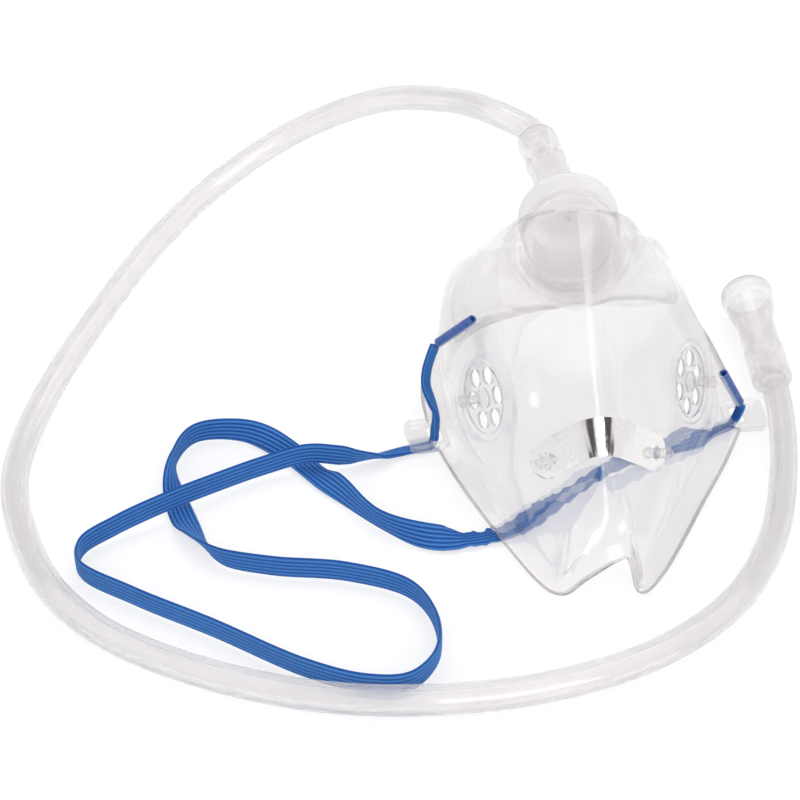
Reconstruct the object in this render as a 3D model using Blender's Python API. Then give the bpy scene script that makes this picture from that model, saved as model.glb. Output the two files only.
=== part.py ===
"""Oxygen face mask with its elastic strap, supply tube and tube connectors.

The mask stands on its face flange with the nose end towards -Y and the chin end
towards +Y, so the moulded dome and its port look up. Sizes below are in millimetres
and are turned into metres where the geometry is made.
"""

import math

import bmesh
import bpy
import numpy as np
from mathutils import Matrix, Vector
from mathutils.bvhtree import BVHTree

MM = 0.001
GAP = 0.3  # clearance kept between pieces that touch
# Moves everything so that the frame's origin is under the middle of the moulding
FRAME_SHIFT = (-0.55, 1.2, 0.0)

# Mask shell: one thin PVC moulding
WALL = 1.2
# Outer edge of the face flange, from the nose notch round by the right cheek (x, y, z)
RIM = (
    (3.2, -56.2, 5.4),
    (6.6, -55.8, 5.6),
    (8.8, -62.0, 1.0),
    (15.8, -54.2, 0.7),
    (28.0, -30.0, 0.8),
    (37.0, -12.5, 2.2),
    (42.6, 3.0, 4.0),
    (41.0, 23.0, 1.4),
    (37.5, 44.0, 0.6),
    (31.0, 59.5, 0.7),
    (6.0, 56.5, 1.6),
    (-22.0, 50.0, 0.7),
    (-36.0, 37.5, 0.6),
    (-41.5, 18.0, 1.4),
    (-40.6, -2.0, 4.0),
    (-35.5, -18.0, 2.6),
    (-26.0, -39.5, 2.6),
    (-15.8, -57.0, 0.7),
    (-9.6, -62.3, 0.8),
    (-3.8, -59.4, 2.8),
)
# The next rows run from the nose to the chin, and hold on both sides of the mask
FLANGE_WIDTH = (2.0, 1.4, 1.8, 4.5, 5.5, 6.5, 6.5, 7.0, 6.8, 5.8, 4.5)
CREASE_HEIGHT = (9.0, 8.5, 5.0, 3.5, 3.6, 4.0, 5.2, 3.8, 3.4, 3.6, 4.5)
PORT_ANGLE = (0, 7, 16, 30, 48, 68, 90, 112, 136, 158, 180)
NECK_OUT = (0.3, 0.3, 0.5, 1.0, 2.0, 3.0, 3.8, 4.2, 4.5, 4.8, 5.0)
NECK_BACK = (4.0, 4.0, 3.8, 3.0, 1.0, -1.5, -3.5, -4.5, -4.5, -4.0, -4.0)
NECK_LOOP = (0.0, 0.0, 0.0, 1.0, 3.0, 5.0, 7.0, 8.0, 8.0, 8.0, 8.0)
# How far the wall bows out, at every station: the left shoulder is the fuller one
BULGE = (
    (1.02, 1.03, 1.05, 1.08, 1.12, 1.24, 1.45, 1.75, 2.10, 2.35)
    + (2.45, 2.40, 2.30, 2.12, 1.92, 1.50, 1.20, 1.10, 1.05, 1.03)
)
# The nose ridge replaces the flange crease above the lobes: x, y, z from one cheek to the other
RIDGE = (
    (-10.5, -47.0, 4.0),
    (-6.0, -51.0, 5.5),
    (-1.4, -54.9, 7.0),
    (2.8, -56.9, 8.0),
    (6.2, -54.4, 7.5),
    (9.4, -50.0, 6.0),
    (12.8, -44.6, 4.5),
)
RIDGE_RISE = 0.3  # share of the wall's height at which the ridge has taken over
NECK_RETURN = 0.4  # share of the loop that is left where it meets the collar
DOME_LEAN = -0.15  # sideways shift of the soft dome for each millimetre of height
COLUMNS_PER_STATION = 4
WALL_ROWS = 11
NECK_ROWS = 3

# Port collar and the connector that is pushed into it
PORT_CENTRE = (-6.2, -4.5, 60.0)
PORT_TURN = 0.0  # degrees to the right of +Y
PORT_DROP = 4.0  # degrees below level
CONNECTOR_R = 10.95
COLLAR_LENGTH = 6.0
COLLAR_R = CONNECTOR_R + GAP + WALL / 2
CAP_R = 12.0
CAP_LENGTH = 9.0
CAP_WALL = 1.5
CAP_BEAD = 0.3
NOZZLE_LENGTH = 10.0
NOZZLE_STEP = 0.8
NOZZLE_ROOT_R = 3.2
NOZZLE_TIP_R = 2.5
NOZZLE_BORE_R = 1.3

# Round vents in the cheeks: station on the rim and height share up the wall
VENTS = {"left": (15.42, 0.335), "right": (4.95, 0.32)}
VENT_R = 10.6
VENT_PLATE = 1.7
VENT_BEAD_R = 0.6
VENT_HOLE_R = 1.8
VENT_HOLE_CIRCLE_R = 6.4
VENT_HOLES = 6
VENT_TURN = {"left": 10.0, "right": 20.0}
VENT_FLAT_R = VENT_R + 3.4
VENT_BLEND_R = VENT_FLAT_R + 4.5
VENT_PEG_LENGTH = 6.5
VENT_PEG_R = 1.15
VENT_KNOB_R = 1.55

# Soft aluminium nose clip, held by two moulded pegs
CLIP_HEIGHT = 0.40  # share of the way up the nose ridge
CLIP_REACH = {"left": 14.6, "right": 15.7}  # from the ridge to each end
CLIP_SPLAY = 0.55  # fall of each wing towards the flange for each millimetre out
CLIP_BEND_R = 3.0
CLIP_WIDTH = 9.0
CLIP_THICKNESS = 0.6
CLIP_SEAT = 0.8  # clearance under the strip
CLIP_STEPS = 28
CLIP_RAY = 40.0  # how far above the ridge the search for the wall starts
PEG_INSET = 4.2
PEG_R = 1.25
PEG_LENGTH = 6.4
PEG_HOLE_CLEARANCE = 0.35

# Strap lugs on the flange
LUGS = {"left": (-40.5, -7.3, 12.0), "right": (42.1, 1.2, 4.0)}  # x, y, turn in degrees
LUG_WIDTH = 10.6
LUG_LENGTH = 12.0
LUG_THICKNESS = 1.8
LUG_HEIGHT = 4.2
LUG_CORNER = 2.5
SLOT_WIDTH = 3.8
SLOT_LENGTH = 8.0
SLOT_INSET = 1.9

# Push-on tube connector, the same moulding at both ends of the tube
SOCKET_LENGTH = 37.5
SOCKET_MOUTH_R = 7.2
SOCKET_BODY_R = 5.3
SOCKET_WALL = 0.95
SOCKET_FLARE = 11.0
SOCKET_BORE_R = 3.3
SOCKET_TAPER = 26.0
SOCKET_SLEEVE = 14.0  # the thicker part that grips the tube
SOCKET_SLEEVE_STEP = 0.3
SOCKET_SLEEVE_RAMP = 1.5
MASK_SOCKET_TURN = -8.0  # degrees: the soft socket leans to the left on the nozzle
MASK_SOCKET_DROP = 1.0
FREE_SOCKET_MOUTH = (50.2, 51.6)
FREE_SOCKET_END = (51.7, 14.2)

# Oxygen tube
TUBE_R = 3.5
TUBE_STEP = 2.0  # diameters between two points of the curve
TUBE_LEAD = 5.0  # straight length at each socket
TUBE_ROUTE = (
    (-24.5, 66.0, 58.5),
    (-34.0, 75.5, 56.0),
    (-53.0, 86.5, 50.0),
    (-76.0, 88.0, 40.0),
    (-98.0, 78.0, 29.5),
    (-115.5, 60.0, 20.5),
    (-128.5, 37.0, 13.0),
    (-139.0, 11.5, 7.0),
    (-143.8, -12.0, 4.0),
    (-143.5, -26.0, 3.6),
    (-140.0, -39.5, 3.5),
    (-130.0, -61.0, 3.5),
    (-115.5, -76.5, 3.5),
    (-93.5, -88.5, 3.5),
    (-67.0, -96.2, 3.5),
    (-41.0, -97.6, 3.5),
    (-14.5, -93.6, 3.5),
    (10.5, -83.4, 3.5),
    (29.5, -67.5, 3.5),
    (42.0, -46.0, 3.5),
    (49.0, -20.5, 3.6),
    (51.5, -2.0, 4.4),
)

# Flat elastic strap: x, y, z and how far it is turned about its length (0 flat, 1 on edge)
STRAP_WIDTH = 6.4
STRAP_THICKNESS = 1.1
BUNCHED_WIDTH = 2.8
BUNCHED_THICKNESS = 1.7
STRAP_STEP = 6.5
STRAP_END_STEP = 3.0  # at the ends, which bend more tightly
STRAP_ROUTE = (
    (-38.9, -8.3, 33.6, 1.0),
    (-40.1, -9.0, 30.0, 1.0),
    (-40.9, -9.2, 26.2, 1.0),
    (-41.0, -9.6, 22.2, 0.9),
    (-39.8, -9.8, 17.8, 0.6),
    (-38.5, -9.4, 13.4, 0.2),
    (-38.4, -8.6, 9.2, 0.1),
    (-38.6, -7.6, 6.0, 0.0),
    (-38.7, -7.2, 3.2, 0.0),
    (-39.6, -7.8, 1.4, 0.0),
    (-43.0, -8.9, 0.9, 0.0),
    (-47.0, -10.2, 0.9, 0.0),
    (-55.6, -14.5, 2.6, 0.6),
    (-62.5, -15.4, 4.2, 1.0),
    (-71.0, -16.4, 5.6, 1.0),
    (-82.0, -19.5, 4.2, 1.0),
    (-94.0, -26.6, 4.4, 1.0),
    (-105.5, -35.4, 5.6, 1.0),
    (-116.5, -42.0, 4.2, 1.0),
    (-123.6, -48.5, 3.5, 1.0),
    (-123.0, -56.0, 3.5, 1.0),
    (-109.4, -65.2, 3.5, 1.0),
    (-90.0, -75.6, 3.5, 1.0),
    (-68.0, -88.2, 3.5, 1.0),
    (-54.5, -92.7, 3.5, 1.0),
    (-45.2, -92.0, 3.5, 1.0),
    (-39.3, -84.4, 3.5, 1.0),
    (-39.2, -73.6, 3.5, 1.0),
    (-45.0, -63.2, 3.5, 1.0),
    (-60.0, -57.2, 3.5, 1.0),
    (-78.0, -55.2, 3.5, 1.0),
    (-90.5, -51.8, 3.5, 0.9),
    (-96.2, -45.2, 2.6, 0.5),
    (-100.8, -35.4, 0.8, 0.0),
    (-104.0, -26.0, 2.0, 0.4),
    (-104.8, -15.4, 3.5, 1.0),
    (-100.2, -5.6, 3.5, 1.0),
    (-88.0, -4.5, 3.0, 0.8),
    (-76.0, -11.0, 1.2, 0.2),
    (-69.0, -18.5, 0.8, 0.0),
    (-62.5, -27.0, 2.4, 0.6),
    (-52.0, -39.0, 3.5, 1.0),
    (-41.0, -44.5, 2.6, 0.6),
    (-30.0, -43.0, 0.9, 0.0),
    (-21.0, -40.0, 0.9, 0.0),
    (-8.0, -31.5, 3.5, 0.9),
    (6.0, -18.5, 3.5, 1.0),
    (21.0, -10.2, 3.0, 0.8),
    (33.0, -3.0, 0.9, 0.0),
    (38.6, 0.1, 1.2, 0.0),
    (40.1, 0.9, 3.4, 0.0),
    (40.7, 0.7, 5.8, 0.0),
    (40.8, 0.1, 8.2, 0.2),
)
STRAP_BUNCH = {"left": 44.0, "right": 12.0}  # length of each end that is drawn together
STRAP_FEED = 8.0
STRAP_STEEP = 0.6  # level share of its direction below which the strap keeps its turn
TIP_R = 1.25
TIP_LENGTH = 13.3
TIP_BORE_R = 0.75
TIP_BORE_DEPTH = 4.0
TIP_CLEARANCE = 1.3  # the strap's end is not quite square to the tip
TIP_WAY = {"left": (9.4, -4.25, 11.1), "right": (-5.4, -2.6, 10.6)}

PVC = (0.86, 0.87, 0.87, 0.35)
FROSTED = (0.82, 0.82, 0.81, 1.0)
BLUE = (0.04, 0.12, 0.48, 1.0)
NAVY = (0.02, 0.05, 0.25, 1.0)
METAL = (0.80, 0.80, 0.80, 1.0)


def clear_scene():
    for obj in list(bpy.data.objects):
        bpy.data.objects.remove(obj, do_unlink=True)


def material(name, colour, roughness, metallic=0.0):
    made = bpy.data.materials.new(name)
    made.use_nodes = True
    shader = made.node_tree.nodes["Principled BSDF"]
    shader.inputs["Base Color"].default_value = colour[:3] + (1.0,)
    shader.inputs["Alpha"].default_value = colour[3]
    shader.inputs["Roughness"].default_value = roughness
    shader.inputs["Metallic"].default_value = metallic
    return made


def new_object(name, mesh, finish=None):
    obj = bpy.data.objects.new(name, mesh)
    bpy.context.scene.collection.objects.link(obj)
    if finish:
        mesh.materials.append(finish)
    return obj


def mesh_from(points, faces, name):
    """A smooth mesh from points in millimetres, with its faces turned outwards."""
    mesh = bpy.data.meshes.new(name)
    mesh.from_pydata([tuple(float(c) * MM for c in p) for p in points], [], faces)
    shell = bmesh.new()
    shell.from_mesh(mesh)
    bmesh.ops.recalc_face_normals(shell, faces=shell.faces)
    shell.to_mesh(mesh)
    shell.free()
    mesh.shade_smooth()
    return mesh


def helper(obj):
    """A cutter or a piece to be joined: kept in the file, left out of the model."""
    obj.hide_render = True
    obj.display_type = "WIRE"
    return obj


def boolean(obj, other, operation):
    modifier = obj.modifiers.new(f"{operation.lower()} {other.name}", "BOOLEAN")
    modifier.operation = operation
    modifier.solver = "EXACT"
    modifier.object = helper(other)


def frame_matrix(origin, along, side=None):
    """A placement in metres with its Z axis along a direction, origin in millimetres."""
    z = Vector(along).normalized()
    hint = Vector(side) if side is not None else Vector((0, 0, 1))
    if abs(hint.normalized().dot(z)) > 0.95:
        hint = Vector((1, 0, 0))
    x = (hint - z * hint.dot(z)).normalized()
    y = z.cross(x)
    placed = Matrix((x, y, z)).transposed().to_4x4()
    placed.translation = Vector(origin) * MM
    return placed


def lathe(name, profile, steps, finish=None):
    """A closed ring of (radius, height) corners turned about Z; radius 0 closes on the axis."""
    points = []
    rings = []
    for radius, height in profile:
        if radius < 1e-6:
            rings.append([len(points)] * steps)
            points.append((0.0, 0.0, height))
            continue
        rings.append(list(range(len(points), len(points) + steps)))
        for k in range(steps):
            turn = 2 * math.pi * k / steps
            points.append((radius * math.cos(turn), radius * math.sin(turn), height))
    faces = []
    for a, b in zip(rings, rings[1:] + rings[:1]):
        for k in range(steps):
            loop = [a[k], a[(k + 1) % steps], b[(k + 1) % steps], b[k]]
            corners = list(dict.fromkeys(loop))
            if len(corners) > 2:
                faces.append(corners)
    mesh = mesh_from(points, faces, name)
    mesh.set_sharp_from_angle(angle=math.radians(40))
    return new_object(name, mesh, finish)


def catmull(values, where, closed=False):
    """Values read from a smooth curve through the given ones, at fractional positions."""
    values = np.asarray(values, float)
    count = len(values)
    where = np.asarray(where, float)
    last = count if closed else count - 1
    left = np.clip(np.floor(where).astype(int), 0, last - 1)
    f = (where - left)[(...,) + (None,) * (values.ndim - 1)]
    if closed:
        p0, p1, p2, p3 = (values[(left + k) % count] for k in (-1, 0, 1, 2))
    else:
        padded = np.concatenate([[2 * values[0] - values[1]], values, [2 * values[-1] - values[-2]]])
        p0, p1, p2, p3 = (padded[left + k] for k in (0, 1, 2, 3))
    a = 2 * p1
    b = p2 - p0
    c = 2 * p0 - 5 * p1 + 4 * p2 - p3
    d = 3 * p1 - p0 - 3 * p2 + p3
    return (a + b * f + c * f**2 + d * f**3) / 2


def direction(turn, drop):
    """Unit vector turned right of +Y and dropped below level, both in degrees."""
    turn, drop = math.radians(turn), math.radians(drop)
    return np.array(
        [math.sin(turn) * math.cos(drop), math.cos(turn) * math.cos(drop), -math.sin(drop)]
    )


def port_axis():
    return direction(PORT_TURN, PORT_DROP)


def port_circle(angle):
    """Unit vectors from the port's axis to its rim; 0 degrees is its top."""
    axis = port_axis()
    right = np.cross(axis, (0.0, 0.0, 1.0))
    right /= np.linalg.norm(right)
    up = np.cross(right, axis)
    angle = np.radians(angle)[..., None]
    return np.cos(angle) * up + np.sin(angle) * right


def by_station(row, station):
    """A value given from nose to chin, read at stations round either side of the rim."""
    full = np.array(row + row[-2:0:-1], float)
    return catmull(full, station, closed=True)


def flatten_at(points, centre, normal):
    """Moves points near a vent onto its plane, with a soft edge round it."""
    offset = points - centre
    depth = offset @ normal
    spread = np.linalg.norm(offset - depth[..., None] * normal, axis=-1)
    share = np.clip((VENT_BLEND_R - spread) / (VENT_BLEND_R - VENT_FLAT_R), 0, 1)
    share = np.where(np.abs(depth) < VENT_FLAT_R, share * share * (3 - 2 * share), 0)
    return points - (share * depth)[..., None] * normal


def crease_point(station):
    """Inner edge of the face flange, where the wall starts to rise."""
    station = np.mod(station, len(RIM))
    rim = catmull(RIM, station, closed=True)
    ahead = catmull(RIM, np.mod(station + 0.01, len(RIM)), closed=True)
    behind = catmull(RIM, np.mod(station - 0.01, len(RIM)), closed=True)
    along = (ahead - behind)[..., :2]
    along /= np.linalg.norm(along, axis=-1, keepdims=True)
    inward = np.stack([-along[..., 1], along[..., 0]], -1)
    width = by_station(FLANGE_WIDTH, station)[..., None]
    height = by_station(CREASE_HEIGHT, station)[..., None]
    return np.concatenate([rim[..., :2] + inward * width, height], -1)


def ridge_point(station):
    """Where the upper wall would meet the flange: the crease, with the ridge at the nose."""
    base = crease_point(np.arange(len(RIM)))
    half = len(RIDGE) // 2
    for step, point in zip(range(-half, half + 1), RIDGE):
        base[step] = point
    return catmull(base, np.mod(station, len(RIM)), closed=True)


def wall_point(station, share):
    """Middle of the wall at a station of the rim; share 0 is the flange crease, 1 the neck."""
    taken = np.clip(np.asarray(share) / RIDGE_RISE, 0, 1)[..., None]
    taken = taken * taken * (3 - 2 * taken)
    crease = crease_point(station) * (1 - taken) + ridge_point(station) * taken
    _, neck, _ = neck_points(station)
    target = neck.copy()
    target[..., 0] -= DOME_LEAN * neck[..., 2]
    power = 2 / catmull(BULGE, np.mod(station, len(RIM)), closed=True)
    quarter = np.asarray(share) * math.pi / 2
    inward_share = (1 - np.cos(quarter) ** power)[..., None]
    upward_share = np.sin(quarter) ** power
    plan = crease[..., :2] + (target - crease)[..., :2] * inward_share
    height = crease[..., 2] + (target - crease)[..., 2] * upward_share
    leaned = plan[..., 0] + DOME_LEAN * height
    return np.stack([leaned, plan[..., 1], height], -1)


def neck_points(station):
    """Start of the collar, end of the wall and the turn between them at a station."""
    axis = port_axis()
    signed = np.where(np.asarray(station) > len(RIM) / 2, -1.0, 1.0)
    out = port_circle(signed * np.abs(by_station(PORT_ANGLE, station)))
    collar = np.array(PORT_CENTRE) + COLLAR_R * out
    back = by_station(NECK_BACK, station)[..., None]
    neck = collar - axis * back + out * by_station(NECK_OUT, station)[..., None]
    return collar, neck, by_station(NECK_LOOP, station)[..., None] * axis


def vent_plane(side):
    """Centre and outward normal of a vent, taken from the wall at its place."""
    station, share = (np.array(value) for value in VENTS[side])
    step = 0.02
    centre = wall_point(station, share)
    round_wall = wall_point(station + step, share) - wall_point(station - step, share)
    up_wall = wall_point(station, share + step) - wall_point(station, share - step)
    normal = np.cross(round_wall, up_wall)
    normal /= np.linalg.norm(normal)
    return centre, normal


def shell_rings():
    """Rings of the moulding's middle surface, from the flange edge to the collar's end."""
    station = np.arange(len(RIM) * COLUMNS_PER_STATION) / COLUMNS_PER_STATION
    rim = catmull(RIM, station, closed=True)
    wall = [wall_point(station, np.full(len(station), k / WALL_ROWS)) for k in range(WALL_ROWS + 1)]
    vents = [vent_plane(side) for side in VENTS]
    for centre, normal in vents:
        wall = [flatten_at(ring, centre, normal) for ring in wall]
    rings = [rim, (rim + wall[0]) / 2] + wall
    collar, neck, loop = neck_points(station)
    for k in range(1, NECK_ROWS + 1):
        f = k / (NECK_ROWS + 1)
        rings.append(
            neck * (1 - f) ** 3
            + 3 * (neck - loop) * f * (1 - f) ** 2
            + 3 * (collar - loop * NECK_RETURN) * f**2 * (1 - f)
            + collar * f**3
        )
    for share in (0, 0.5, 1):
        rings.append(collar + port_axis() * COLLAR_LENGTH * share)
    return rings


def grid_mesh(rings, name):
    points = np.concatenate(rings)
    count = len(rings[0])
    faces = []
    for row in range(len(rings) - 1):
        for k in range(count):
            a = row * count + k
            b = row * count + (k + 1) % count
            faces.append((a, b, b + count, a + count))
    return mesh_from(points, faces, name)


def vent_boss(side):
    """Flat vent plate with a raised bead round it and the peg of its flap in the middle."""
    centre, normal = vent_plane(side)
    half = VENT_PLATE / 2
    bead = half + VENT_BEAD_R
    tip = half + VENT_PEG_LENGTH
    profile = [
        (0, -half),
        (VENT_R, -half),
        (VENT_R + VENT_BEAD_R, -half / 2),
        (VENT_R + VENT_BEAD_R, half),
        (VENT_R, bead),
        (VENT_R - VENT_BEAD_R, half),
        (VENT_PEG_R + 0.9, half),
        (VENT_PEG_R + 0.9, half + 0.5),
        (VENT_PEG_R, half + 0.9),
        (VENT_PEG_R, tip - 3.0),
        (VENT_PEG_R + 0.35, tip - 2.6),
        (VENT_PEG_R + 0.35, tip - 2.2),
        (VENT_PEG_R, tip - 1.9),
        (VENT_KNOB_R, tip - 1.2),
        (VENT_KNOB_R, tip - 0.5),
        (VENT_KNOB_R - 0.5, tip),
        (0, tip),
    ]
    boss = lathe(f"vent boss {side}", profile, 24)
    boss.matrix_world = frame_matrix(centre, normal)
    return boss


def vent_holes(side):
    """One cutter for the ring of round holes of a vent."""
    centre, normal = vent_plane(side)
    cutter = bmesh.new()
    for k in range(VENT_HOLES):
        turn = 2 * math.pi * k / VENT_HOLES + math.radians(VENT_TURN[side])
        place = Matrix.Translation(
            Vector((math.cos(turn), math.sin(turn), 0)) * VENT_HOLE_CIRCLE_R * MM
        )
        bmesh.ops.create_cone(
            cutter,
            cap_ends=True,
            segments=12,
            radius1=VENT_HOLE_R * MM,
            radius2=VENT_HOLE_R * MM,
            depth=4 * VENT_PLATE * MM,
            matrix=place,
        )
    mesh = bpy.data.meshes.new(f"vent holes {side}")
    cutter.to_mesh(mesh)
    cutter.free()
    holes = new_object(f"vent holes {side}", mesh)
    holes.matrix_world = frame_matrix(centre, normal)
    return holes


def rounded_plate(name, width, length, thickness, corner, steps=5):
    """A flat plate with round corners, centred on its origin."""
    points = []
    for quarter in range(4):
        centre_x = (width / 2 - corner) * (1 if quarter in (0, 3) else -1)
        centre_y = (length / 2 - corner) * (1 if quarter in (0, 1) else -1)
        for k in range(steps + 1):
            turn = math.pi / 2 * (quarter + k / steps)
            points.append((centre_x + corner * math.cos(turn), centre_y + corner * math.sin(turn)))
    count = len(points)
    low = [(x, y, -thickness / 2) for x, y in points]
    high = [(x, y, thickness / 2) for x, y in points]
    faces = [tuple(range(count))[::-1], tuple(range(count, 2 * count))]
    for k in range(count):
        after = (k + 1) % count
        faces.append((k, after, count + after, count + k))
    return new_object(name, mesh_from(low + high, faces, name))


def lug_matrix(side, shift=0.0):
    """Placement of a lug, or of its slot moved towards the mask by a shift."""
    x, y, turn = LUGS[side]
    inwards = -1 if x > 0 else 1
    return Matrix.Translation(Vector((x, y, LUG_HEIGHT)) * MM) @ Matrix.Rotation(
        math.radians(turn), 4, "Z"
    ) @ Matrix.Translation(Vector((inwards * shift, 0, 0)) * MM)


def clip_path(tree):
    """Middle line of the nose clip: it lies on the ridge in a plane square to it."""
    ridge = wall_point(np.array(0.0), np.array(CLIP_HEIGHT))
    above = wall_point(np.array(0.0), np.array(CLIP_HEIGHT + 0.05))
    up_ridge = above - ridge
    up_ridge /= np.linalg.norm(up_ridge)
    outwards = np.cross((1.0, 0.0, 0.0), up_ridge)
    outwards /= np.linalg.norm(outwards)
    across = np.cross(up_ridge, outwards)
    clearance = WALL / 2 + CLIP_SEAT + CLIP_THICKNESS / 2
    path = []
    normals = []
    for k in range(CLIP_STEPS + 1):
        share = k / CLIP_STEPS
        reach = CLIP_REACH["right"] * share - CLIP_REACH["left"] * (1 - share)
        fall = CLIP_SPLAY * (math.hypot(reach, CLIP_BEND_R) - CLIP_BEND_R)
        start = ridge + across * reach - up_ridge * fall + outwards * CLIP_RAY
        hit, normal, _, _ = tree.ray_cast(Vector(start) * MM, Vector(-outwards))
        normal = np.array(normal)
        if normal @ outwards < 0:
            normal = -normal
        normals.append(normal)
        path.append(np.array(hit) / MM)
    normals = smoothed(np.array(normals), 3)
    normals /= np.linalg.norm(normals, axis=1, keepdims=True)
    path = smoothed(np.array(path), 2) + normals * clearance
    return path, normals


def smoothed(rows, times):
    """Each row moved halfway to the mean of its neighbours, with the ends kept."""
    rows = rows.copy()
    for _ in range(times):
        rows[1:-1] = rows[1:-1] / 2 + (rows[2:] + rows[:-2]) / 4
    return rows


def read_at(distance, along, rows):
    """A row read at a distance along a path."""
    return np.array([np.interp(distance, along, rows[:, k]) for k in range(rows.shape[1])])


def clip_lengths(path):
    steps = np.linalg.norm(np.diff(path, axis=0), axis=1)
    return np.concatenate([[0], np.cumsum(steps)])


def nose_clip(tree, finish):
    """Bent strip with round ends, holed for the pegs."""
    path, normals = clip_path(tree)
    along = clip_lengths(path)
    total = along[-1]
    round_r = CLIP_WIDTH / 2
    stops = [0.15, 0.6, 1.5, 2.8, round_r]
    at = np.unique(np.concatenate([stops, total - np.array(stops), np.linspace(round_r, total - round_r, 25)]))
    tangents = smoothed(np.gradient(path, axis=0), 3)
    rings = []
    for distance in at:
        centre = read_at(distance, along, path)
        normal = read_at(distance, along, normals)
        across = np.cross(normal, read_at(distance, along, tangents))
        across /= np.linalg.norm(across)
        normal = np.cross(read_at(distance, along, tangents), across)
        normal /= np.linalg.norm(normal)
        edge = min(distance, total - distance, round_r)
        half = math.sqrt(max(round_r**2 - (round_r - edge) ** 2, 0))
        wide = across * half
        thick = normal * CLIP_THICKNESS / 2
        rings.append([centre - wide - thick, centre + wide - thick, centre + wide + thick, centre - wide + thick])
    faces = [(0, 1, 2, 3)]
    for row in range(len(rings) - 1):
        for k in range(4):
            a = 4 * row + k
            b = 4 * row + (k + 1) % 4
            faces.append((a, b, b + 4, a + 4))
    last = 4 * (len(rings) - 1)
    faces.append((last, last + 1, last + 2, last + 3))
    points = [corner for ring in rings for corner in ring]
    mesh = mesh_from(points, faces, "nose_clip")
    mesh.set_sharp_from_angle(angle=math.radians(35))
    clip = new_object("nose_clip", mesh, finish)
    for name, centre, normal in clip_pegs(tree):
        hole_r = PEG_R + PEG_HOLE_CLEARANCE
        cutter = lathe(f"clip hole {name}", [(0, -3), (hole_r, -3), (hole_r, 3), (0, 3)], 14)
        cutter.matrix_world = frame_matrix(centre, normal)
        boolean(clip, cutter, "DIFFERENCE")
    return clip


def clip_pegs(tree):
    """Name, foot and direction of each moulded peg, at the clip's holes."""
    path, normals = clip_path(tree)
    along = clip_lengths(path)
    for name, distance in (("left", PEG_INSET), ("right", along[-1] - PEG_INSET)):
        centre = read_at(distance, along, path)
        normal = read_at(distance, along, normals)
        normal /= np.linalg.norm(normal)
        foot = centre - normal * (WALL / 2 + CLIP_SEAT + CLIP_THICKNESS / 2)
        yield name, foot, normal


def peg(name, foot, normal):
    """Round peg with a bullet head, rooted inside the wall."""
    profile = [
        (0, -WALL / 3),
        (PEG_R, -WALL / 3),
        (PEG_R, PEG_LENGTH - 2.2),
        (PEG_R + 0.3, PEG_LENGTH - 1.9),
        (PEG_R * 0.9, PEG_LENGTH - 0.7),
        (PEG_R * 0.4, PEG_LENGTH),
        (0, PEG_LENGTH),
    ]
    made = lathe(f"clip peg {name}", profile, 12)
    made.matrix_world = frame_matrix(foot, normal)
    return made


def mask_shell(finish):
    """The PVC moulding, and a search tree of its middle surface for what seats on it."""
    mesh = grid_mesh(shell_rings(), "mask_shell")
    surface = bmesh.new()
    surface.from_mesh(mesh)
    tree = BVHTree.FromBMesh(surface)
    surface.free()
    shell = new_object("mask_shell", mesh, finish)
    solid = shell.modifiers.new("wall", "SOLIDIFY")
    solid.thickness = WALL * MM
    solid.offset = 0
    for side in VENTS:
        boolean(shell, vent_boss(side), "UNION")
    for side in LUGS:
        lug = rounded_plate(f"lug {side}", LUG_WIDTH, LUG_LENGTH, LUG_THICKNESS, LUG_CORNER)
        lug.matrix_world = lug_matrix(side)
        boolean(shell, lug, "UNION")
    for name, foot, normal in clip_pegs(tree):
        boolean(shell, peg(name, foot, normal), "UNION")
    for side in VENTS:
        boolean(shell, vent_holes(side), "DIFFERENCE")
    for side in LUGS:
        slot = rounded_plate(
            f"slot {side}", SLOT_WIDTH, SLOT_LENGTH, 4 * LUG_THICKNESS, SLOT_WIDTH / 2 - 0.05
        )
        slot.matrix_world = lug_matrix(side, SLOT_INSET)
        boolean(shell, slot, "DIFFERENCE")
    return shell, tree


def port_connector(finish):
    """Stepped cap with an open barrel towards the mask and a nozzle away from it."""
    start = GAP
    step = COLLAR_LENGTH + GAP
    end = step + CAP_LENGTH
    nozzle = end + NOZZLE_STEP
    tip = nozzle + NOZZLE_LENGTH
    profile = [
        (CONNECTOR_R - CAP_WALL, start),
        (CONNECTOR_R - 0.3, start),
        (CONNECTOR_R, start + 0.3),
        (CONNECTOR_R, step),
        (CAP_R - 0.3, step),
        (CAP_R, step + 0.3),
        (CAP_R, end - 1.6),
        (CAP_R + CAP_BEAD, end - 1.3),
        (CAP_R + CAP_BEAD, end - 0.4),
        (CAP_R, end),
        (NOZZLE_ROOT_R + NOZZLE_STEP + 0.4, end),
        (NOZZLE_ROOT_R + NOZZLE_STEP, nozzle),
        (NOZZLE_ROOT_R, nozzle),
        (NOZZLE_TIP_R, tip - 0.5),
        (NOZZLE_TIP_R - 0.4, tip),
        (NOZZLE_BORE_R, tip),
        (NOZZLE_BORE_R, end - CAP_WALL),
        (CONNECTOR_R - CAP_WALL, end - CAP_WALL),
    ]
    made = lathe("port_connector", profile, 36, finish)
    axis = port_axis()
    made.matrix_world = frame_matrix(PORT_CENTRE, axis)
    end_face = np.array(PORT_CENTRE) + axis * end
    return made, end_face


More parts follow.
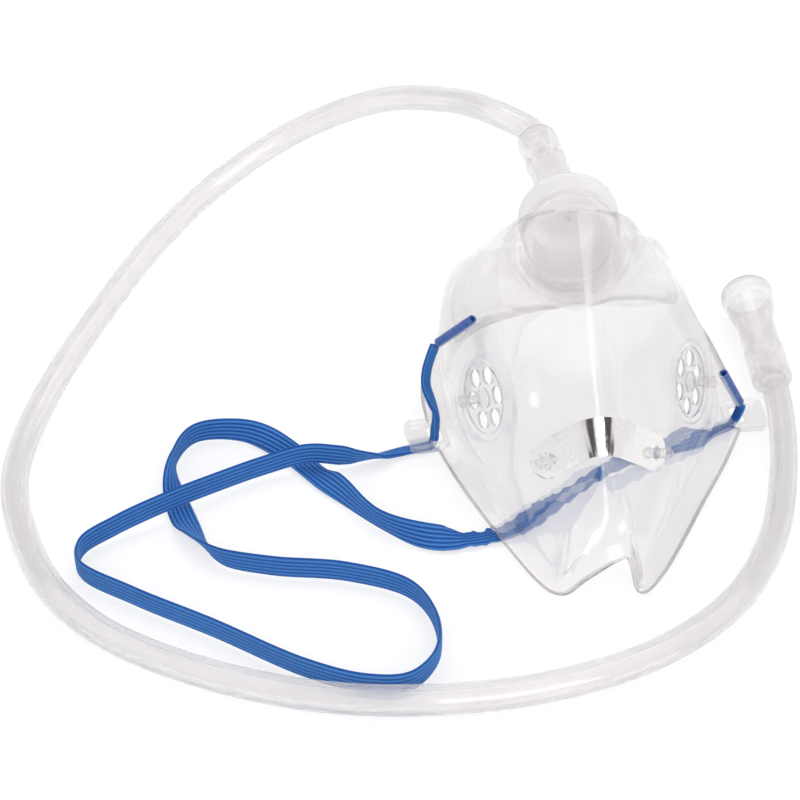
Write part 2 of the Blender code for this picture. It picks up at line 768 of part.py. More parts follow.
def socket_profile():
    """Flared push-on tube end: mouth at height 0, tube side at SOCKET_LENGTH."""
    mouth_bore = SOCKET_MOUTH_R - SOCKET_WALL
    waist = SOCKET_BODY_R - SOCKET_SLEEVE_STEP
    sleeve = SOCKET_LENGTH - SOCKET_SLEEVE
    return [
        (mouth_bore, 0),
        (SOCKET_MOUTH_R - 0.2, 0),
        (SOCKET_MOUTH_R, 0.3),
        (SOCKET_MOUTH_R, 1.4),
        (SOCKET_MOUTH_R - 0.45, 3.4),
        (SOCKET_MOUTH_R - 0.7, 7.0),
        (waist, SOCKET_FLARE + 2),
        (waist, sleeve),
        (SOCKET_BODY_R, sleeve + SOCKET_SLEEVE_RAMP),
        (SOCKET_BODY_R, SOCKET_LENGTH - 0.5),
        (SOCKET_BODY_R - 0.4, SOCKET_LENGTH),
        (SOCKET_BORE_R - 1.2, SOCKET_LENGTH),
        (SOCKET_BORE_R - 1.2, SOCKET_TAPER),
        (SOCKET_BORE_R, SOCKET_TAPER - 2),
        (mouth_bore - 0.6, 4.5),
        (mouth_bore, 3.5),
    ]


def tube_socket(name, mouth, along, finish):
    made = lathe(name, socket_profile(), 24, finish)
    made.matrix_world = frame_matrix(mouth, along)
    return made


def even_stops(start, end, step):
    """Distances from a start up to an end, the end left out, at about the given step."""
    return np.linspace(start, end, max(int(round((end - start) / step)), 1), endpoint=False)


def points_along(route, stops_for):
    """Points of a smooth curve through a route, at stops chosen for its length."""
    route = np.array(route, float)
    chord = np.linalg.norm(np.diff(route[:, :3], axis=0), axis=1) ** 0.5
    knots = np.concatenate([[0], np.cumsum(chord)])
    fine = []
    for k in range(len(route) - 1):
        before = max(k - 1, 0)
        after = min(k + 2, len(route) - 1)
        for f in np.linspace(0, 1, 24, endpoint=False):
            t = knots[k] + f * (knots[k + 1] - knots[k])
            fine.append(centripetal(route, knots, before, k, k + 1, after, t))
    fine.append(route[-1])
    fine = np.array(fine)
    lengths = np.concatenate([[0], np.cumsum(np.linalg.norm(np.diff(fine[:, :3], axis=0), axis=1))])
    at = np.append(stops_for(lengths[-1]), lengths[-1])
    return np.stack([np.interp(at, lengths, fine[:, k]) for k in range(fine.shape[1])], -1), at


def centripetal(route, knots, i0, i1, i2, i3, t):
    """One point of the Catmull-Rom curve whose knots follow the root of each chord."""

    def mix(a, b, ta, tb):
        if tb - ta < 1e-9:
            return a
        return a * (tb - t) / (tb - ta) + b * (t - ta) / (tb - ta)

    p0, p1, p2, p3 = route[i0], route[i1], route[i2], route[i3]
    t0, t1, t2, t3 = knots[i0], knots[i1], knots[i2], knots[i3]
    a1 = mix(p0, p1, t0, t1)
    a2 = mix(p1, p2, t1, t2)
    a3 = mix(p2, p3, t2, t3)
    b1 = mix(a1, a2, t0, t2)
    b2 = mix(a2, a3, t1, t3)
    return mix(b1, b2, t1, t2)


def oxygen_tube(start, start_along, end, end_along, finish):
    """The supply tube as a round curve from one socket to the other."""
    route = [start + start_along * TUBE_LEAD]
    route += [np.array(point) for point in TUBE_ROUTE]
    route += [end + end_along * TUBE_LEAD]
    points, _ = points_along(route, lambda total: even_stops(0, total, 2 * TUBE_R * TUBE_STEP))
    points = [start + start_along * GAP, *points, end + end_along * GAP]
    curve = bpy.data.curves.new("oxygen_tube", "CURVE")
    curve.dimensions = "3D"
    curve.bevel_depth = TUBE_R * MM
    curve.bevel_resolution = 3
    curve.use_fill_caps = True
    spline = curve.splines.new("POLY")
    spline.points.add(len(points) - 1)
    for knot, point in zip(spline.points, points):
        knot.co = (*(point * MM), 1.0)
    curve.materials.append(finish)
    tube = bpy.data.objects.new("oxygen_tube", curve)
    bpy.context.scene.collection.objects.link(tube)
    return tube


def strap_stops(total):
    """Distances of the strap's sections: closer together where its ends are drawn together."""
    left = STRAP_BUNCH["left"]
    right = total - STRAP_BUNCH["right"]
    return np.concatenate(
        [
            even_stops(0, left, STRAP_END_STEP),
            even_stops(left, right, STRAP_STEP),
            even_stops(right, total, STRAP_END_STEP),
        ]
    )


def strap_sections():
    """Centre, width direction, width and thickness along the strap."""
    rows, at = points_along(STRAP_ROUTE, strap_stops)
    centres = rows[:, :3]
    edge = np.clip(rows[:, 3], 0, 1)
    tangent = np.gradient(centres, at, axis=0)
    tangent /= np.linalg.norm(tangent, axis=1, keepdims=True)
    level = np.linalg.norm(tangent[:, :2], axis=1) > STRAP_STEEP
    plan = [np.interp(at, at[level], tangent[level, k]) for k in (0, 1)]
    side = np.stack([-plan[1], plan[0], np.zeros(len(at))], -1)
    side -= tangent * np.sum(side * tangent, axis=1, keepdims=True)
    side /= np.linalg.norm(side, axis=1, keepdims=True)
    angle = edge[:, None] * math.pi / 2
    wide = side * np.cos(angle) + np.cross(tangent, side) * np.sin(angle)
    from_left = np.clip((at - STRAP_BUNCH["left"]) / STRAP_FEED, 0, 1)
    from_right = np.clip((at[-1] - STRAP_BUNCH["right"] - at) / STRAP_FEED, 0, 1)
    spread = np.minimum(from_left, from_right)
    spread = spread * spread * (3 - 2 * spread)
    width = BUNCHED_WIDTH + (STRAP_WIDTH - BUNCHED_WIDTH) * spread
    thickness = BUNCHED_THICKNESS + (STRAP_THICKNESS - BUNCHED_THICKNESS) * spread
    rise = np.minimum(np.abs(wide[:, 2]), 1)
    reach = rise * width / 2 + np.sqrt(1 - rise**2) * thickness / 2
    centres[:, 2] = np.maximum(centres[:, 2], reach + GAP)
    return centres, tangent, wide, width, thickness


def elastic_strap(finish):
    """The flat strap as a swept band with round edges."""
    centres, tangent, wide, width, thickness = strap_sections()
    thick = np.cross(tangent, wide)
    section = [(-0.5, 0.0), (-0.42, -0.5), (0.42, -0.5), (0.5, 0.0), (0.42, 0.5), (-0.42, 0.5)]
    count = len(section)
    points = []
    for k in range(len(centres)):
        for across, through in section:
            points.append(
                centres[k] + wide[k] * across * width[k] + thick[k] * through * thickness[k]
            )
    faces = [tuple(range(count))]
    for row in range(len(centres) - 1):
        for k in range(count):
            a = row * count + k
            b = row * count + (k + 1) % count
            faces.append((a, b, b + count, a + count))
    last = (len(centres) - 1) * count
    faces.append(tuple(range(last, last + count)))
    return new_object("elastic_strap", mesh_from(points, faces, "elastic_strap"), finish)


def strap_tip(side, finish):
    """Stiff rolled tip on an end of the strap, hollow at its free end."""
    centres = strap_sections()[0]
    start = centres[0] if side == "left" else centres[-1]
    along = np.array(TIP_WAY[side])
    along /= np.linalg.norm(along)
    profile = [
        (0, 0),
        (TIP_R, 0),
        (TIP_R, TIP_LENGTH),
        (TIP_BORE_R, TIP_LENGTH),
        (TIP_BORE_R, TIP_LENGTH - TIP_BORE_DEPTH),
        (0, TIP_LENGTH - TIP_BORE_DEPTH),
    ]
    tip = lathe(f"strap_tip_{side}", profile, 16, finish)
    tip.matrix_world = frame_matrix(start + along * TIP_CLEARANCE, along)
    return tip


def main():
    clear_scene()
    pvc = material("clear PVC", PVC, 0.12)
    frosted = material("frosted plastic", FROSTED, 0.4)
    tubing = material("tube PVC", PVC, 0.15)
    blue = material("blue elastic", BLUE, 0.85)
    navy = material("dark blue tip", NAVY, 0.45)
    metal = material("aluminium", METAL, 0.2, 1.0)
    _, tree = mask_shell(pvc)
    nose_clip(tree, metal)
    _, face = port_connector(frosted)
    along = direction(PORT_TURN + MASK_SOCKET_TURN, MASK_SOCKET_DROP)
    lean = math.radians(abs(MASK_SOCKET_TURN))
    mouth = face + port_axis() * (GAP + SOCKET_MOUTH_R * math.sin(lean))
    tube_socket("mask_tube_socket", mouth, along, tubing)
    free_mouth = np.array(FREE_SOCKET_MOUTH + (SOCKET_MOUTH_R + GAP / 2,))
    free_end = np.array(FREE_SOCKET_END + (SOCKET_BODY_R + GAP / 2,))
    free_along = (free_end - free_mouth) / np.linalg.norm(free_end - free_mouth)
    tube_socket("free_tube_socket", free_mouth, free_along, tubing)
    oxygen_tube(
        mouth + along * SOCKET_LENGTH,
        along,
        free_mouth + free_along * SOCKET_LENGTH,
        free_along,
        tubing,
    )
    elastic_strap(blue)
    for side in ("left", "right"):
        strap_tip(side, navy)
    shift = Matrix.Translation(Vector(FRAME_SHIFT) * MM)
    for obj in bpy.data.objects:
        obj.matrix_world = shift @ obj.matrix_world


main()
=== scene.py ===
"""Looks of the oxygen face mask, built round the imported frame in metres."""

import math

import bmesh
import bpy
import numpy as np
from mathutils import Matrix, Vector
from mathutils.bvhtree import BVHTree


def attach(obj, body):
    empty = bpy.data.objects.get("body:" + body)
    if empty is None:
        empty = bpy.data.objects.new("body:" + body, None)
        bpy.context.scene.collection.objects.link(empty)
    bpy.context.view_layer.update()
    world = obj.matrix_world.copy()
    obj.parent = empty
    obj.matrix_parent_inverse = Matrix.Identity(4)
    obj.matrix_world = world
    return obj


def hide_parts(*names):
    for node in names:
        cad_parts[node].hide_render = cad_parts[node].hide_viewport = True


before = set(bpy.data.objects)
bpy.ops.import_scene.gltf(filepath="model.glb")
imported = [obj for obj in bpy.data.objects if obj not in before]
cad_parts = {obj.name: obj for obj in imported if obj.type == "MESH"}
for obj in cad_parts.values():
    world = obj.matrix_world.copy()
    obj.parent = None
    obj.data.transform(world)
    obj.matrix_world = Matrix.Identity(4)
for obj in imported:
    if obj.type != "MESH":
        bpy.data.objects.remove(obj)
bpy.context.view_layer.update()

MM = 0.001
SHIFT = np.array((-0.55, 1.2, 0.0))  # routes and stations below are given before this shift
GAP = 0.3  # between neighbours, as in the solids

# ---- camera, at the photograph's place

camera_data = bpy.data.cameras.new("camera")
camera_data.lens = 79.785
camera_data.sensor_width = 36
camera_data.clip_start = 0.01
camera = bpy.data.objects.new("camera", camera_data)
bpy.context.scene.collection.objects.link(camera)
camera.location = (-0.04805, -0.3598, 0.292)
camera.rotation_euler = (math.radians(52), 0, 0)
bpy.context.scene.camera = camera


# ---- curves and small helpers


def catmull(values, where, closed=False):
    """Values read from a smooth curve through the given ones, at fractional positions."""
    values = np.asarray(values, float)
    count = len(values)
    where = np.asarray(where, float)
    last = count if closed else count - 1
    left = np.clip(np.floor(where).astype(int), 0, last - 1)
    f = (where - left)[(...,) + (None,) * (values.ndim - 1)]
    if closed:
        p0, p1, p2, p3 = (values[(left + k) % count] for k in (-1, 0, 1, 2))
    else:
        padded = np.concatenate([[2 * values[0] - values[1]], values, [2 * values[-1] - values[-2]]])
        p0, p1, p2, p3 = (padded[left + k] for k in (0, 1, 2, 3))
    square, cube = 2 * p0 - 5 * p1 + 4 * p2 - p3, 3 * p1 - p0 - 3 * p2 + p3
    return (2 * p1 + (p2 - p0) * f + square * f**2 + cube * f**3) / 2


def centripetal(route, knots, four, t):
    """One point of the Catmull-Rom curve whose knots follow the root of each chord."""

    def mix(a, b, ta, tb):
        if tb - ta < 1e-9:
            return a
        return a * (tb - t) / (tb - ta) + b * (t - ta) / (tb - ta)

    (p0, p1, p2, p3), (t0, t1, t2, t3) = route[four], knots[four]
    a1, a2, a3 = mix(p0, p1, t0, t1), mix(p1, p2, t1, t2), mix(p2, p3, t2, t3)
    return mix(mix(a1, a2, t0, t2), mix(a2, a3, t1, t3), t1, t2)


def lengths_of(path):
    return np.concatenate([[0], np.cumsum(np.linalg.norm(np.diff(path, axis=0), axis=1))])


FINE_STEPS = 24  # between two points of a route, before it is divided evenly


def points_along(route, step):
    """Points of a smooth curve through a route at about even steps, and their distances."""
    route = np.array(route, float)
    chord = np.linalg.norm(np.diff(route[:, :3], axis=0), axis=1) ** 0.5
    knots = np.concatenate([[0], np.cumsum(chord)])
    fine = []
    for k in range(len(route) - 1):
        before, after = max(k - 1, 0), min(k + 2, len(route) - 1)
        for f in np.linspace(0, 1, FINE_STEPS, endpoint=False):
            t = knots[k] + f * (knots[k + 1] - knots[k])
            fine.append(centripetal(route, knots, [before, k, k + 1, after], t))
    fine.append(route[-1])
    fine = np.array(fine)
    lengths = lengths_of(fine[:, :3])
    at = np.linspace(0, lengths[-1], max(int(round(lengths[-1] / step)), 2) + 1)
    return np.stack([np.interp(at, lengths, fine[:, k]) for k in range(fine.shape[1])], -1), at


def unit(rows):
    return rows / np.linalg.norm(rows, axis=-1, keepdims=True)


def eased(share):
    return share * share * (3 - 2 * share)


def waves(at, terms):
    """A sum of sines of a distance; each term is its size, turn per millimetre and start."""
    return sum(size * np.sin(at * rate + start) for size, rate, start in terms)


def smoothed(rows, times):
    rows = rows.copy()
    for _ in range(times):
        rows[1:-1] = rows[1:-1] / 2 + (rows[2:] + rows[:-2]) / 4
    return rows


def new_object(name, data, finish=None):
    obj = bpy.data.objects.new(name, data)
    bpy.context.scene.collection.objects.link(obj)
    if finish:
        data.materials.append(finish)
    return obj


def mesh_from(points, faces, name, shift=True):
    """A smooth mesh from points in millimetres, with its faces turned outwards."""
    moved = np.asarray(points, float) + (SHIFT if shift else 0)
    mesh = bpy.data.meshes.new(name)
    mesh.from_pydata((moved * MM).tolist(), [], faces)
    work = bmesh.new()
    work.from_mesh(mesh)
    bmesh.ops.recalc_face_normals(work, faces=work.faces)
    work.to_mesh(mesh)
    work.free()
    mesh.shade_smooth()
    return mesh


def add_uv(mesh, uv):
    """Gives each corner of the faces the UV of its point."""
    layer = mesh.uv_layers.new(name="UVMap")
    for loop in mesh.loops:
        layer.data[loop.index].uv = uv[loop.vertex_index]


def frame_matrix(origin, along):
    """A placement in metres with its Z axis along a direction, origin in millimetres."""
    z = Vector(along).normalized()
    hint = Vector((0, 0, 1))
    if abs(hint.dot(z)) > 0.95:
        hint = Vector((1, 0, 0))
    x = (hint - z * hint.dot(z)).normalized()
    placed = Matrix((x, z.cross(x), z)).transposed().to_4x4()
    placed.translation = Vector(np.asarray(origin, float) + SHIFT) * MM
    return placed


def lathe_mesh(name, profile, steps, wobble=None):
    """A closed ring of (radius, height) corners turned about Z; radius 0 closes on the axis.

    wobble = a function of the turn that is added to the radius.
    """
    points, rings = [], []
    for radius, height in profile:
        if radius < 1e-6:
            rings.append([len(points)] * steps)
            points.append((0.0, 0.0, height))
            continue
        rings.append(list(range(len(points), len(points) + steps)))
        for k in range(steps):
            turn = 2 * math.pi * k / steps
            r = radius + (wobble(turn) if wobble else 0)
            points.append((r * math.cos(turn), r * math.sin(turn), height))
    faces = []
    for a, b in zip(rings, rings[1:] + rings[:1]):
        for k in range(steps):
            corners = list(dict.fromkeys([a[k], a[(k + 1) % steps], b[(k + 1) % steps], b[k]]))
            if len(corners) > 2:
                faces.append(corners)
    return mesh_from(points, faces, name, shift=False)


def rounded(profile, radius=0.25, steps=3):
    """A profile with each corner off the axis replaced by a short arc."""
    made = []
    count = len(profile)
    for k, corner in enumerate(profile):
        here = np.array(corner, float)
        before, after = np.array(profile[k - 1], float), np.array(profile[(k + 1) % count], float)
        to_before, to_after = before - here, after - here
        a, b = np.linalg.norm(to_before), np.linalg.norm(to_after)
        if corner[0] < 1e-6 or min(a, b) < 1e-6:
            made.append(tuple(here))
            continue
        cut = min(radius, a * 0.45, b * 0.45)
        start, end = here + to_before / a * cut, here + to_after / b * cut
        for f in np.linspace(0, 1, steps + 1):
            made.append(tuple((1 - f) ** 2 * start + 2 * f * (1 - f) * here + f**2 * end))
    return made


def turned(name, profile, origin, along, steps, finish=None, sharp=50, wobble=None):
    """A lathed piece or tool; sharp is the angle in degrees from which an edge shows."""
    mesh = lathe_mesh(name, profile, steps, wobble)
    mesh.set_sharp_from_angle(angle=math.radians(sharp))
    obj = new_object(name, mesh, finish)
    obj.matrix_world = frame_matrix(origin, along)
    return obj


def boolean(obj, other, operation):
    modifier = obj.modifiers.new(operation.lower(), "BOOLEAN")
    modifier.operation = operation
    modifier.solver = "EXACT"
    modifier.object = other


def bake_modifiers(obj, tools):
    """Turns a piece's modifiers into its mesh and removes the tools they used."""
    bpy.context.view_layer.update()
    evaluated = obj.evaluated_get(bpy.context.evaluated_depsgraph_get())
    mesh = bpy.data.meshes.new_from_object(evaluated)
    obj.modifiers.clear()
    obj.data = mesh
    for tool in tools:
        bpy.data.objects.remove(tool, do_unlink=True)


def direction(turn, drop):
    """Unit vector turned right of +Y and dropped below level, both in degrees."""
    turn, drop = math.radians(turn), math.radians(drop)
    return np.array([math.sin(turn) * math.cos(drop), math.cos(turn) * math.cos(drop), -math.sin(drop)])


# ---- materials


def shader_of(name):
    made = bpy.data.materials.new(name)
    made.use_nodes = True
    tree = made.node_tree
    return made, tree, tree.nodes["Principled BSDF"]


def node(tree, kind, **values):
    made = tree.nodes.new(kind)
    for key, value in values.items():
        if key in made.inputs:
            made.inputs[key].default_value = value
        else:
            setattr(made, key, value)
    return made


def feed(tree, socket, value):
    """Sets a socket to a number or colour, or links it to another socket."""
    if isinstance(value, (int, float, tuple)):
        socket.default_value = value
    else:
        tree.links.new(value, socket)


def grey(value):
    return (value, value, value, 1)


def set_inputs(tree, shader, **values):
    """Feeds a shader's inputs; an underscore in a name stands for a space."""
    for name, value in values.items():
        feed(tree, shader.inputs[name.replace("_", " ")], value)


def math_node(tree, operation, *values):
    made = node(tree, "ShaderNodeMath", operation=operation)
    for socket, value in zip(made.inputs, values):
        feed(tree, socket, value)
    return made.outputs[0]


def mixed(tree, factor, first, second, blend="MIX"):
    made = node(tree, "ShaderNodeMix", data_type="RGBA", blend_type=blend)
    for key, value in (("Factor", factor), (6, first), (7, second)):
        feed(tree, made.inputs[key], value)
    return made.outputs[2]


def parts_of(tree, vector):
    made = node(tree, "ShaderNodeSeparateXYZ")
    tree.links.new(vector, made.inputs["Vector"])
    return made.outputs


def noise(tree, where, scale, detail=2.0, rough=0.5):
    made = node(tree, "ShaderNodeTexNoise", Scale=scale, Detail=detail, Roughness=rough)
    tree.links.new(where, made.inputs["Vector"])
    return made.outputs["Fac"]


def ramp(tree, fac, stops):
    made = node(tree, "ShaderNodeValToRGB")
    line = made.color_ramp
    while len(line.elements) < len(stops):
        line.elements.new(0.5)
    for element, (place, colour) in zip(line.elements, stops):
        element.position = place
        element.color = (*colour, 1.0)
    tree.links.new(fac, made.inputs["Fac"])
    return made.outputs["Color"]


def spread(tree, fac, low, high, start=0.3, end=0.7):
    made = node(tree, "ShaderNodeMapRange")
    for key, value in (("From Min", start), ("From Max", end), ("To Min", low), ("To Max", high)):
        made.inputs[key].default_value = value
    tree.links.new(fac, made.inputs["Value"])
    return made.outputs["Result"]


def bump(tree, height, strength, distance, before=None):
    made = node(tree, "ShaderNodeBump", Strength=strength, Distance=distance)
    tree.links.new(height, made.inputs["Height"])
    if before:
        tree.links.new(before, made.inputs["Normal"])
    return made.outputs["Normal"]


def place(tree, kind="Object", scale=(1, 1, 1)):
    where = node(tree, "ShaderNodeTexCoord").outputs[kind]
    if scale == (1, 1, 1):
        return where
    mapping = node(tree, "ShaderNodeMapping", Scale=scale)
    tree.links.new(where, mapping.inputs["Vector"])
    return mapping.outputs["Vector"]


PLASTIC_IOR = 1.45


def clear_pvc(name, low, high, rough, wave, clear, thin, bands=None, thinned=None):
    """Clear soft PVC: a haze in clouds, an uneven gloss and a faint wave from the moulding.

    bands = (height in metres, drift, stops) paints shade, making it darker or paler at some of its own
    heights, and thinned = (start, end, share) lowers its alpha to that share from one height to another.
    clear and thin are the ranges of its transmission and, from face-on to edge-on, of its alpha.
    """
    made, tree, shader = shader_of(name)
    where = place(tree)
    cloud = noise(tree, where, 45, 3)
    tint = ramp(tree, cloud, ((0.3, low), (0.7, high)))
    own_height = parts_of(tree, where)["Z"]
    if bands:
        height, drift, stops = bands
        level = spread(tree, own_height, -drift / 2, 1 - drift / 2, 0, height)
        level = math_node(tree, "MULTIPLY_ADD", cloud, drift, level)
        tint = mixed(tree, 1.0, tint, ramp(tree, level, [(at, (f, f, f)) for at, f in stops]), "MULTIPLY")
    edge = node(tree, "ShaderNodeLayerWeight", Blend=0.35).outputs["Facing"]
    cover = spread(tree, edge, *thin, 0.25, 0.95)
    if thinned:
        start, end, share = thinned
        cover = math_node(tree, "MULTIPLY", cover, spread(tree, own_height, 1.0, share, start, end))
    soft = bump(tree, noise(tree, where, 38, 2), wave, 0.002)
    set_inputs(
        tree, shader, Base_Color=tint, Alpha=cover, IOR=PLASTIC_IOR,
        Roughness=spread(tree, noise(tree, where, 160, 3), rough * 0.6, rough * 1.6),
        Transmission_Weight=spread(tree, noise(tree, where, 55, 3, 0.55), *clear),
        Normal=bump(tree, noise(tree, where, 240, 2), wave * 0.3, 0.0003, soft),
    )
    return made


def frosted_plastic():
    """Frosted translucent plastic, mostly white, with a fine grain."""
    made, tree, shader = shader_of("frosted_plastic")
    where = place(tree)
    cloud = noise(tree, where, 120, 4)
    set_inputs(
        tree, shader, IOR=PLASTIC_IOR,
        Base_Color=ramp(tree, cloud, ((0.3, (0.965, 0.95, 0.945)), (0.7, (0.99, 0.98, 0.975)))),
        Roughness=spread(tree, noise(tree, where, 700, 3), 0.32, 0.5),
        Transmission_Weight=spread(tree, cloud, 0.22, 0.36),
        Alpha=spread(tree, noise(tree, where, 60, 2), 0.62, 0.70),
        Normal=bump(tree, noise(tree, where, 1500, 3), 0.25, 0.0001),
    )
    return made


def aluminium():
    """Bright soft strip with rolling lines along it and a few rubs."""
    made, tree, shader = shader_of("bright_aluminium")
    where = place(tree, "UV", (0.6, 30, 1))
    lines = noise(tree, where, 14, 4, 0.6)
    rubs = noise(tree, place(tree, "UV", (2, 2, 1)), 5, 4)
    set_inputs(
        tree, shader, Metallic=1.0, Roughness=spread(tree, rubs, 0.06, 0.16),
        Base_Color=ramp(tree, rubs, ((0.35, (0.82, 0.81, 0.81)), (0.65, (0.88, 0.87, 0.87)))),
        Normal=bump(tree, lines, 0.03, 0.0002),
    )
    return made


STRAP_RIBS = 6
STITCH = 0.7  # length of one stitch along the strap, in the millimetres of its UV map
STITCH_SLANT = 3.0


def knitted_elastic():
    """Ribbed blue knit: ribs and stitches follow the strap's own length and width; its colour is painted
    shade in the rib grooves and between stitches and painted light on the rib tops.
    """
    made, tree, shader = shader_of("blue_elastic")
    where = parts_of(tree, place(tree, "UV"))

    def wave(value, scale, phase=0.0):
        turn = math_node(tree, "MULTIPLY_ADD", value, scale, phase)
        return math_node(tree, "MULTIPLY_ADD", math_node(tree, "SINE", turn), 0.5, 0.5)

    ribs = wave(where["Y"], 2 * math.pi * STRAP_RIBS)
    stitches = wave(where["X"], 2 * math.pi / STITCH, math_node(tree, "MULTIPLY", ribs, STITCH_SLANT))
    fuzz = noise(tree, place(tree, "UV", (1, 9, 1)), 3.5, 4, 0.7)
    knit = math_node(tree, "MULTIPLY_ADD", stitches, 0.16, ribs)
    rib_shade_and_fuzz = math_node(tree, "MULTIPLY_ADD", fuzz, 0.55, knit)
    # painted shade and light: the blues run from groove shade through mid tone to lit rib tops, with a random
    # fuzz in the tone
    blues = (0.05, (0.012, 0.056, 0.27)), (0.45, (0.030, 0.140, 0.46)), (0.95, (0.080, 0.265, 0.63))
    set_inputs(
        tree, shader, Specular_IOR_Level=0.2, Sheen_Weight=0.08, Sheen_Roughness=0.4,
        Base_Color=ramp(tree, spread(tree, rib_shade_and_fuzz, 0.0, 1.0, 0.1, 1.6), blues),
        Roughness=spread(tree, fuzz, 0.7, 0.9),
        Normal=bump(tree, fuzz, 0.4, 0.0001, bump(tree, knit, 0.8, 0.00018)),
    )
    return made


def tip_film():
    """Rolled blue film, paler along its lower side."""
    made, tree, shader = shader_of("strap_tip_film")
    where = place(tree)
    streaks = noise(tree, place(tree, "Object", (300, 300, 900)), 1.5, 3)
    blue = ramp(tree, streaks, ((0.3, (0.030, 0.080, 0.29)), (0.75, (0.070, 0.150, 0.45))))
    paler_lower_side = spread(tree, parts_of(tree, where)["X"], 0.9, 0.0, -0.0009, -0.0004)
    set_inputs(
        tree, shader, Base_Color=mixed(tree, paler_lower_side, blue, (0.50, 0.57, 0.70, 1)),
        Roughness=spread(tree, noise(tree, where, 900, 2), 0.22, 0.4),
        Normal=bump(tree, streaks, 0.2, 0.0002),
    )
    return made


# painted shade: the mask's PVC is darkest at the middle heights of its dome, about 23 to 40 mm up
PVC = clear_pvc(
    "mask_pvc", (0.885, 0.830, 0.850), (0.945, 0.893, 0.912), 0.03, 0.035, (0.88, 0.97), (0.36, 0.55),
    bands=(0.06, 0.12, ((0.0, 0.89), (0.2, 0.85), (0.38, 0.73), (0.66, 0.73), (0.85, 1.0))),
    thinned=(0.040, 0.054, 0.6),
)
# painted shade: grey PVC for the rim and the walls of cut holes, standing in for the darker look of the clear
# wall seen on end
PVC_EDGE_SHADE = clear_pvc(
    "mask_pvc_edge_shade", (0.40, 0.38, 0.39), (0.55, 0.53, 0.54), 0.08, 0.02, (0.80, 0.90), (0.75, 0.95),
)
# painted shade: near-black PVC for the chin's rim and the faces beside its crease
PVC_CREASE_SHADE = clear_pvc(
    "mask_pvc_crease_shade", (0.14, 0.13, 0.135), (0.26, 0.25, 0.255), 0.08, 0.02, (0.80, 0.90), (0.85, 0.95),
)
TUBING = clear_pvc(
    "tubing_pvc", (0.840, 0.808, 0.812), (0.870, 0.840, 0.845), 0.04, 0.012, (0.82, 0.88), (0.45, 0.75),
)
SOCKET_LENGTH = 37.5
SOCKET_SHADE_BANDS = (  # painted shade: dark rims at both ends and a dark line where the grip starts
    (0.012, 0.40), (0.03, 1.0), (0.62, 1.0), (0.635, 0.55), (0.65, 1.0), (0.97, 1.0), (0.99, 0.85),
)
SOFT_END = clear_pvc(
    "tube_end_pvc", (0.905, 0.872, 0.877), (0.935, 0.904, 0.908), 0.06, 0.02, (0.62, 0.70), (0.50, 0.75),
    bands=(SOCKET_LENGTH * MM, 0.015, SOCKET_SHADE_BANDS),
)
FROSTED = frosted_plastic()
METAL = aluminium()
ELASTIC = knitted_elastic()
FILM = tip_film()


# ---- mask shell: the moulding's surface at a finer step, with its small dents

WALL = 1.2
RIM = (  # the outline's stations, from the nose notch round by +X
    (3.2, -56.2, 5.4), (6.6, -55.8, 5.6), (8.8, -62.0, 1.0), (15.8, -54.2, 0.7), (28.0, -30.0, 0.8),
    (37.0, -12.5, 2.2), (42.6, 3.0, 4.0), (41.0, 23.0, 1.4), (37.5, 44.0, 0.6), (31.0, 59.5, 0.7),
    (6.0, 56.5, 1.6), (-22.0, 50.0, 0.7), (-36.0, 37.5, 0.6), (-41.5, 18.0, 1.4), (-40.6, -2.0, 4.0),
    (-35.5, -18.0, 2.6), (-26.0, -39.5, 2.6), (-15.8, -57.0, 0.7), (-9.6, -62.3, 0.8), (-3.8, -59.4, 2.8),
)
# tables of 11 go from the notch to the chin, the same on both sides
FLANGE_WIDTH = (2.0, 1.4, 1.8, 4.5, 5.5, 6.5, 6.5, 7.0, 6.8, 5.8, 4.5)
CREASE_HEIGHT = (9.0, 8.5, 5.0, 3.5, 3.6, 4.0, 5.2, 3.8, 3.4, 3.6, 4.5)
BULGE = (
    1.02, 1.03, 1.05, 1.08, 1.12, 1.24, 1.45, 1.75, 2.10, 2.35,
    2.45, 2.40, 2.30, 2.12, 1.92, 1.50, 1.20, 1.10, 1.05, 1.03,
)
RIDGE = (
    (-10.5, -47.0, 4.0), (-6.0, -51.0, 5.5), (-1.4, -54.9, 7.0), (2.8, -56.9, 8.0), (6.2, -54.4, 7.5),
    (9.4, -50.0, 6.0), (12.8, -44.6, 4.5),
)
RIDGE_RISE = 0.3
PORT_ANGLE = (0, 7, 16, 30, 48, 68, 90, 112, 136, 158, 180)
NECK_OUT = (0.3, 0.3, 0.5, 1.0, 2.0, 3.0, 3.8, 4.2, 4.5, 4.8, 5.0)
NECK_BACK = (4.0, 4.0, 3.8, 3.0, 1.0, -1.5, -3.5, -4.5, -4.5, -4.0, -4.0)
NECK_LOOP = (0.0, 0.0, 0.0, 1.0, 3.0, 5.0, 7.0, 8.0, 8.0, 8.0, 8.0)
NECK_RETURN = 0.4
DOME_LEAN = -0.15
COLUMNS = 12  # for each station of the rim
CREASE_ROW = 4  # the row of faces beside the crease, painted dark along the chin as a second line of painted shade
CHIN = (8.9, 11.9)  # the stations between which the rim and the crease are painted darkest, as painted shade
FLANGE_ROWS = (0, 0.12, 0.3, 0.5, 0.7, 0.88)
COLLAR_ROWS = (0, 0.25, 0.5, 0.75, 1)
WALL_ROWS = 44
NECK_ROWS = 10
PORT_CENTRE = np.array((-6.2, -4.5, 60.0))
AXIS = direction(0.0, 4.0)
CONNECTOR_R = 10.95
COLLAR_LENGTH = 6.0
COLLAR_R = CONNECTOR_R + GAP + WALL / 2
